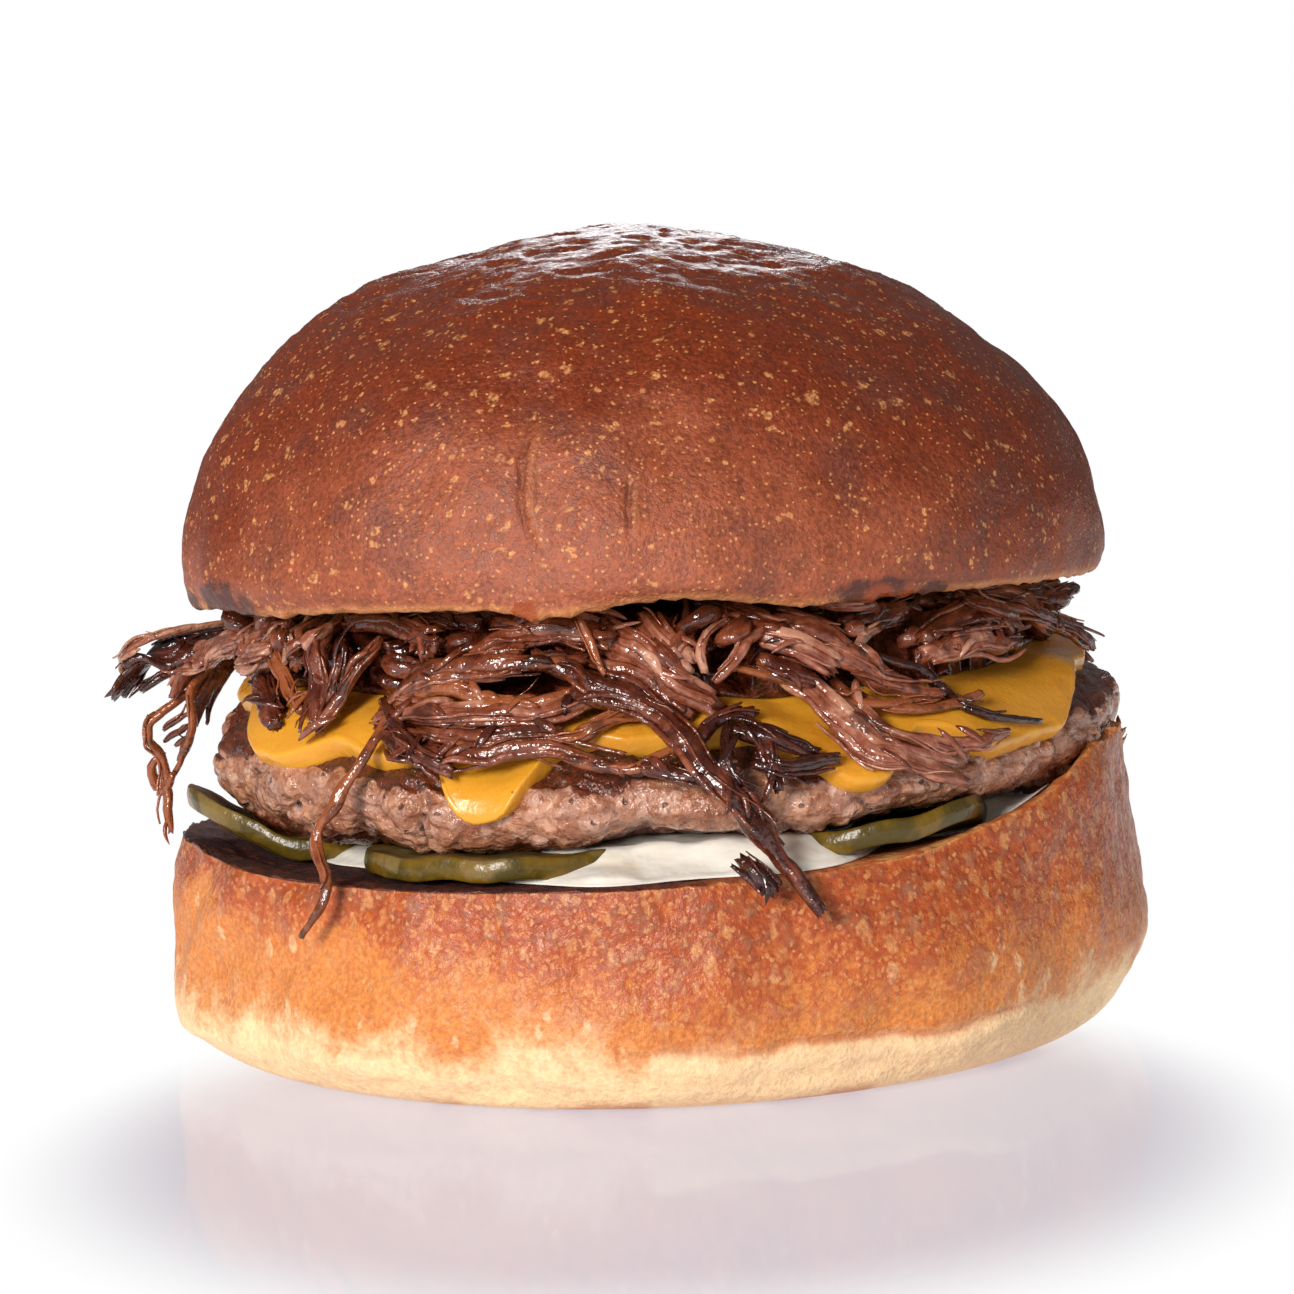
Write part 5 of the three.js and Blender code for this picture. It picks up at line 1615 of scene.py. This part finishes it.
def lying_routes(draw, count, first, last):
    """Strands that lie round the heap's edge under the crown."""
    for i in range(count):
        at = mix(first, last, (i + draw.random()) / count)
        turn = draw.uniform(9, 26) * draw.choice([-1, 1])
        radius = draw.uniform(43, 47.5)
        height = draw.uniform(41, 48)
        yield [
            [at, radius - draw.uniform(1, 4), height + draw.uniform(-1, 1)],
            [at + turn * 0.5, radius, height + draw.uniform(-2, 1.5)],
            [at + turn, radius - draw.uniform(0, 5), height + draw.uniform(-2.5, 2)],
        ]


def shred_routes(draw, count):
    """Short scraps at all angles in the dark gap under the crown."""
    for i in range(count):
        at = mix(0, 360, (i + draw.random()) / count)
        radius = draw.uniform(39, 46)
        height = draw.uniform(42, 48.2)
        turn, rise = draw.uniform(-9, 9), draw.uniform(-3.5, 3.5)
        yield [
            [at, radius, height],
            [at + turn * 0.5, radius + draw.uniform(0, 2.5), height + rise * 0.5],
            [at + turn, radius + draw.uniform(-2, 1.5), height + rise],
        ]


def meat_paint(meat):
    """Fibrous meat from burnt to pale, with glossy amber fat."""
    paint = Paint("Pulled short rib", IOR=1.45)
    grain = paint.spot("grain")
    lines = paint.patches(0.6, 2, 0.55, where=paint.stretched(grain, (1.0, 1.0, 0.1)))
    broad = paint.patches(2.6, 2, 0.6)
    lump = paint.patches(1.5, 2, 0.5)
    knots = paint.patches(0.8, 2, 0.5)
    tone = paint.value("tone") + 0.26 * (lines - 0.5) + 0.2 * (broad - 0.5) + 0.12 * (knots - 0.5)
    stops = [(0.0, meat.char), (0.3, meat.maroon), (0.55, meat.brown), (0.8, meat.rose), (1.0, meat.pale)]
    colour = paint.ramp(tone, stops)
    amber = (paint.value("amber") + 0.4 * (lump - 0.5)).ease(0.2, 1.0)
    colour = paint.blend(amber * 0.75, colour, meat.amber)
    colour = paint.blend(paint.noise(4, 2, 0.6).ease(0.57, 0.66) * 0.6, colour, meat.char)
    paint.bump(0.05 * lines + 0.09 * lump + 0.06 * knots)
    rough = 0.1 + 0.18 * broad
    return paint.finish(Base_Color=colour, Roughness=rough, Specular_IOR_Level=0.9)


def heap_form(burger, deg, shares):
    """Points of the heap's inner body, which rests on the cheese."""
    meat, filling = burger.meat, burger.filling
    turn = np.radians(deg)
    edge = mm(meat.heap_radius) + rises(deg, HEAP_LOBES) + 1.2 * np.sin(turn * 7 + 1)
    upper = shares[shares < HEAP_TOP_SHARE][:, None] / HEAP_TOP_SHARE
    bump = np.minimum(0.5 * np.sin(turn * 5) * upper, 0)
    top = mm(meat.heap_top)
    high = polar(deg[None], edge * upper, mix(top, top - HEAP_EDGE_DROP, upper**4) + bump)
    lower = (1 - shares[shares >= HEAP_TOP_SHARE])[:, None] / (1 - HEAP_TOP_SHARE)
    cover = 2 * GAP + mm(filling.cheese_thickness)
    low = patty_form(filling, deg, 0.3 * lower**0.8 + 0 * deg, cover)
    return np.concatenate([high, low])


class BURGER_OT_rib_heap(bpy.types.Operator):
    """Builds the heap's inner body, which shows dark between the strands"""

    bl_idname = "burger.rib_heap"
    bl_label = "Short rib heap"

    def execute(self, context):
        burger = context.scene.burger
        body = Body(HEAP_COLUMNS, HEAP_SPANS, partial(heap_form, burger))
        noise = Noise(SEEDS["heap"])
        ridges = noise.cells(body.points * [1, 1, 0.4], 3)[0] + 0.5 * noise.layered(body.points, 3, 2)
        body.raise_by(0.9 * (ridges - 0.6) * between(0.35, 0.45, 0.6, 0.7, body.share) - 0.2)
        body.points[:, 2] = np.minimum(body.height, mm(burger.meat.heap_top))
        tone = np.clip(0.25 + 0.3 * noise.layered(body.points, 5, 2), 0, 0.7)
        values = {"tone": tone, "amber": 0 * tone, "grain": body.points * [1, 1, 0.5]}
        add_piece("rib_heap", body, values, meat_paint(burger.meat), "short_rib")
        return {"FINISHED"}


class BURGER_OT_rib_strands(bpy.types.Operator):
    """Builds the pulled strands, the scraps under the crown and the loose fibres"""

    bl_idname = "burger.rib_strands"
    bl_label = "Short rib strands"

    def execute(self, context):
        burger = context.scene.burger
        seat = Seat(burger)
        material = meat_paint(burger.meat)
        front, back = Threads(SEEDS["front"]), Threads(SEEDS["back"])
        scraps, fibres = Threads(SEEDS["scraps"]), Threads(SEEDS["fibres"])
        for tone, wide, thick, route in STRANDS:
            lay_strand(front, fibres, seat, TONES[tone], wide, thick, route)
        draw = back.draw
        loose = list(loose_routes(draw, LOOSE_STRANDS, 0, 166))
        for route in [*loose, *lying_routes(draw, LYING_STRANDS, -14, 184)]:
            wide, thick = draw.uniform(1.4, 4), draw.uniform(1.4, 2.4)
            tone = TONES[str(draw.choice(BACK_TONES))]
            lay_strand(back, fibres, seat, tone, wide, thick, route, 0.6)
        draw = scraps.draw
        for route in shred_routes(draw, SCRAPS):
            wide, thick = draw.uniform(1.2, 3.4), draw.uniform(1.2, 2.4)
            # Painted shade: scraps that lie further in under the crown get darker tones.
            shown = ease(40, 45.5, route[1][1])
            light = mix(0.05, 0.5, shown) + draw.normal(0, 0.12)
            lay_strand(scraps, fibres, seat, (light, 0.1), wide, thick, route, 0.3)
        front.add("rib_front", material)
        back.add("rib_back", material)
        scraps.add("rib_scraps", material)
        fibres.add("rib_fibres", material)
        return {"FINISHED"}


# ---- stage ----


def add_floor(stage):
    """A pale floor with a faint gloss. Near the burger it glows as a dimmer lilac pool, a painted pool of
    light, and away from the burger it turns into the white backdrop.
    """
    half = stage.floor_side / 2
    corners = [(-half, -half, 0), (half, -half, 0), (half, half, 0), (-half, half, 0)]
    mesh = bpy.data.meshes.new("floor")
    mesh.from_pydata(corners, [], [(0, 1, 2, 3)])
    floor = bpy.data.objects.new("floor", mesh)
    bpy.context.collection.objects.link(floor)
    paint = Paint("White studio floor", Roughness=0.9)
    white = shade(250, 249, 252)
    paint.feed(paint.shader.inputs["Base Color"], white)
    gloss = paint.node("ShaderNodeBsdfGlossy", None, {"Color": white, "Roughness": 0.05})
    # Painted light: near the burger the floor glows, dimmer and lilac, in place of being lit by the lamps.
    lit = paint.node("ShaderNodeEmission", None, {"Color": shade(244, 239, 250), "Strength": 0.86})
    diffuse = Wire(paint, paint.shader.outputs[0])
    share = 0.14 + 0.02 * paint.noise(400, 1)
    pale = paint.node("ShaderNodeMixShader", None, {0: 0.7, 1: diffuse, 2: lit})
    near = paint.node("ShaderNodeMixShader", None, {0: share, 1: pale, 2: gloss})
    glow = paint.node("ShaderNodeEmission", None, {"Color": (1.0, 1.0, 1.0), "Strength": 1.0})
    middle = (0.0, -mm(stage.floor_middle), 0.0)
    ends = {0: paint.place, 1: middle}
    away = paint.node("ShaderNodeVectorMath", {"operation": "DISTANCE"}, ends, "Value")
    fade = away.ease(mm(stage.floor_clear), mm(stage.floor_fade))
    floor_look = paint.node("ShaderNodeMixShader", None, {0: fade, 1: near, 2: glow})
    paint.feed(paint.tree.nodes["Material Output"].inputs["Surface"], floor_look)
    mesh.materials.append(paint.material)
    floor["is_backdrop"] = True


def add_lamp(name, strength):
    """A soft rectangular lamp that points at its aim."""
    place, aim, size, colour = LAMPS[name]
    lamp = bpy.data.lights.new(name, "AREA")
    lamp.shape = "RECTANGLE"
    lamp.size, lamp.size_y = size
    lamp.energy = strength
    lamp.color = colour
    holder = bpy.data.objects.new(name, lamp)
    bpy.context.collection.objects.link(holder)
    holder.location = place
    way = np.array(aim, float) - np.array(place, float)
    flat = math.hypot(way[0], way[1])
    holder.rotation_euler = (math.atan2(flat, -way[2]), 0, math.atan2(way[1], way[0]) - math.pi / 2)


def add_backdrop(stage):
    """White behind the burger as the camera sees it, and softer as it lights the burger."""
    world = bpy.data.worlds.new("Studio")
    bpy.context.scene.world = world
    world.use_nodes = True
    tree = world.node_tree
    ray = tree.nodes.new("ShaderNodeLightPath")
    mixer = tree.nodes.new("ShaderNodeMix")
    mixer.inputs["A"].default_value = stage.backdrop
    mixer.inputs["B"].default_value = 1.0
    tree.links.new(ray.outputs["Is Camera Ray"], mixer.inputs["Factor"])
    background = tree.nodes["Background"]
    background.inputs["Color"].default_value = (1, 1, 1, 1)
    tree.links.new(mixer.outputs["Result"], background.inputs["Strength"])


def add_camera(stage):
    """The camera looks slightly down along +Y and leans a little to one side."""
    camera = bpy.data.cameras.new("camera")
    camera.sensor_width = 36.0
    camera.lens = camera.sensor_width * CAMERA_FOCAL_PIXELS / PHOTO_PIXELS
    camera.clip_start = 0.01
    holder = bpy.data.objects.new("camera", camera)
    bpy.context.collection.objects.link(holder)
    pitch = math.atan(CAMERA_HORIZON_PIXELS / CAMERA_FOCAL_PIXELS)
    ahead = np.array([0, math.cos(pitch), -math.sin(pitch)])
    right = np.array([1.0, 0, 0])
    up = np.cross(right, ahead)
    roll = math.radians(CAMERA_ROLL)
    level, lean = math.cos(roll), math.sin(roll)
    axes = [right * level - up * lean, right * lean + up * level, -ahead]
    place = np.eye(4)
    place[:3, :3] = np.stack(axes, 1)
    place[:3, 3] = (0, -stage.camera_distance, stage.camera_height)
    holder.matrix_world = [list(map(float, row)) for row in place.T]
    bpy.context.scene.camera = holder


class BURGER_OT_stage(bpy.types.Operator):
    """Sets the pale floor, the soft studio lights and the camera"""

    bl_idname = "burger.stage"
    bl_label = "Studio stage"

    def execute(self, context):
        stage = context.scene.burger.stage
        add_floor(stage)
        add_backdrop(stage)
        add_lamp("key", stage.key_strength)
        add_lamp("fill", stage.fill_strength)
        add_lamp("top", stage.top_strength)
        context.scene.view_settings.view_transform = "Standard"
        add_camera(stage)
        return {"FINISHED"}


class BURGER_PT_pieces(bpy.types.Panel):
    """Lists the burger's pieces and its stage"""

    bl_label = "Short rib burger"
    bl_idname = "BURGER_PT_pieces"
    bl_space_type = "VIEW_3D"
    bl_region_type = "UI"
    bl_category = "Burger"

    def draw(self, context):
        for step in STEPS:
            self.layout.operator(step.bl_idname)


STEPS = [
    BURGER_OT_stage,
    BURGER_OT_bun_heel,
    BURGER_OT_sauce,
    BURGER_OT_pickles,
    BURGER_OT_beef_patty,
    BURGER_OT_cheese,
    BURGER_OT_rib_heap,
    BURGER_OT_rib_strands,
    BURGER_OT_bun_crown,
]
SETTINGS = [BunSettings, FillingSettings, MeatSettings, StageSettings, BurgerSettings]


def register():
    for kind in [*SETTINGS, *STEPS, BURGER_PT_pieces]:
        bpy.utils.register_class(kind)
    bpy.types.Scene.burger = bpy.props.PointerProperty(type=BurgerSettings, name="Burger")


def unregister():
    del bpy.types.Scene.burger
    for kind in reversed([*SETTINGS, *STEPS, BURGER_PT_pieces]):
        bpy.utils.unregister_class(kind)


def main():
    register()
    for step in STEPS:
        group, name = step.bl_idname.split(".")
        getattr(getattr(bpy.ops, group), name)()
    boxes = {"cad": CAD_BOX, "visual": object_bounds()}
    {key: [list(corner) for corner in box] for key, box in boxes.items()}


if __name__ == "__main__":
    main()
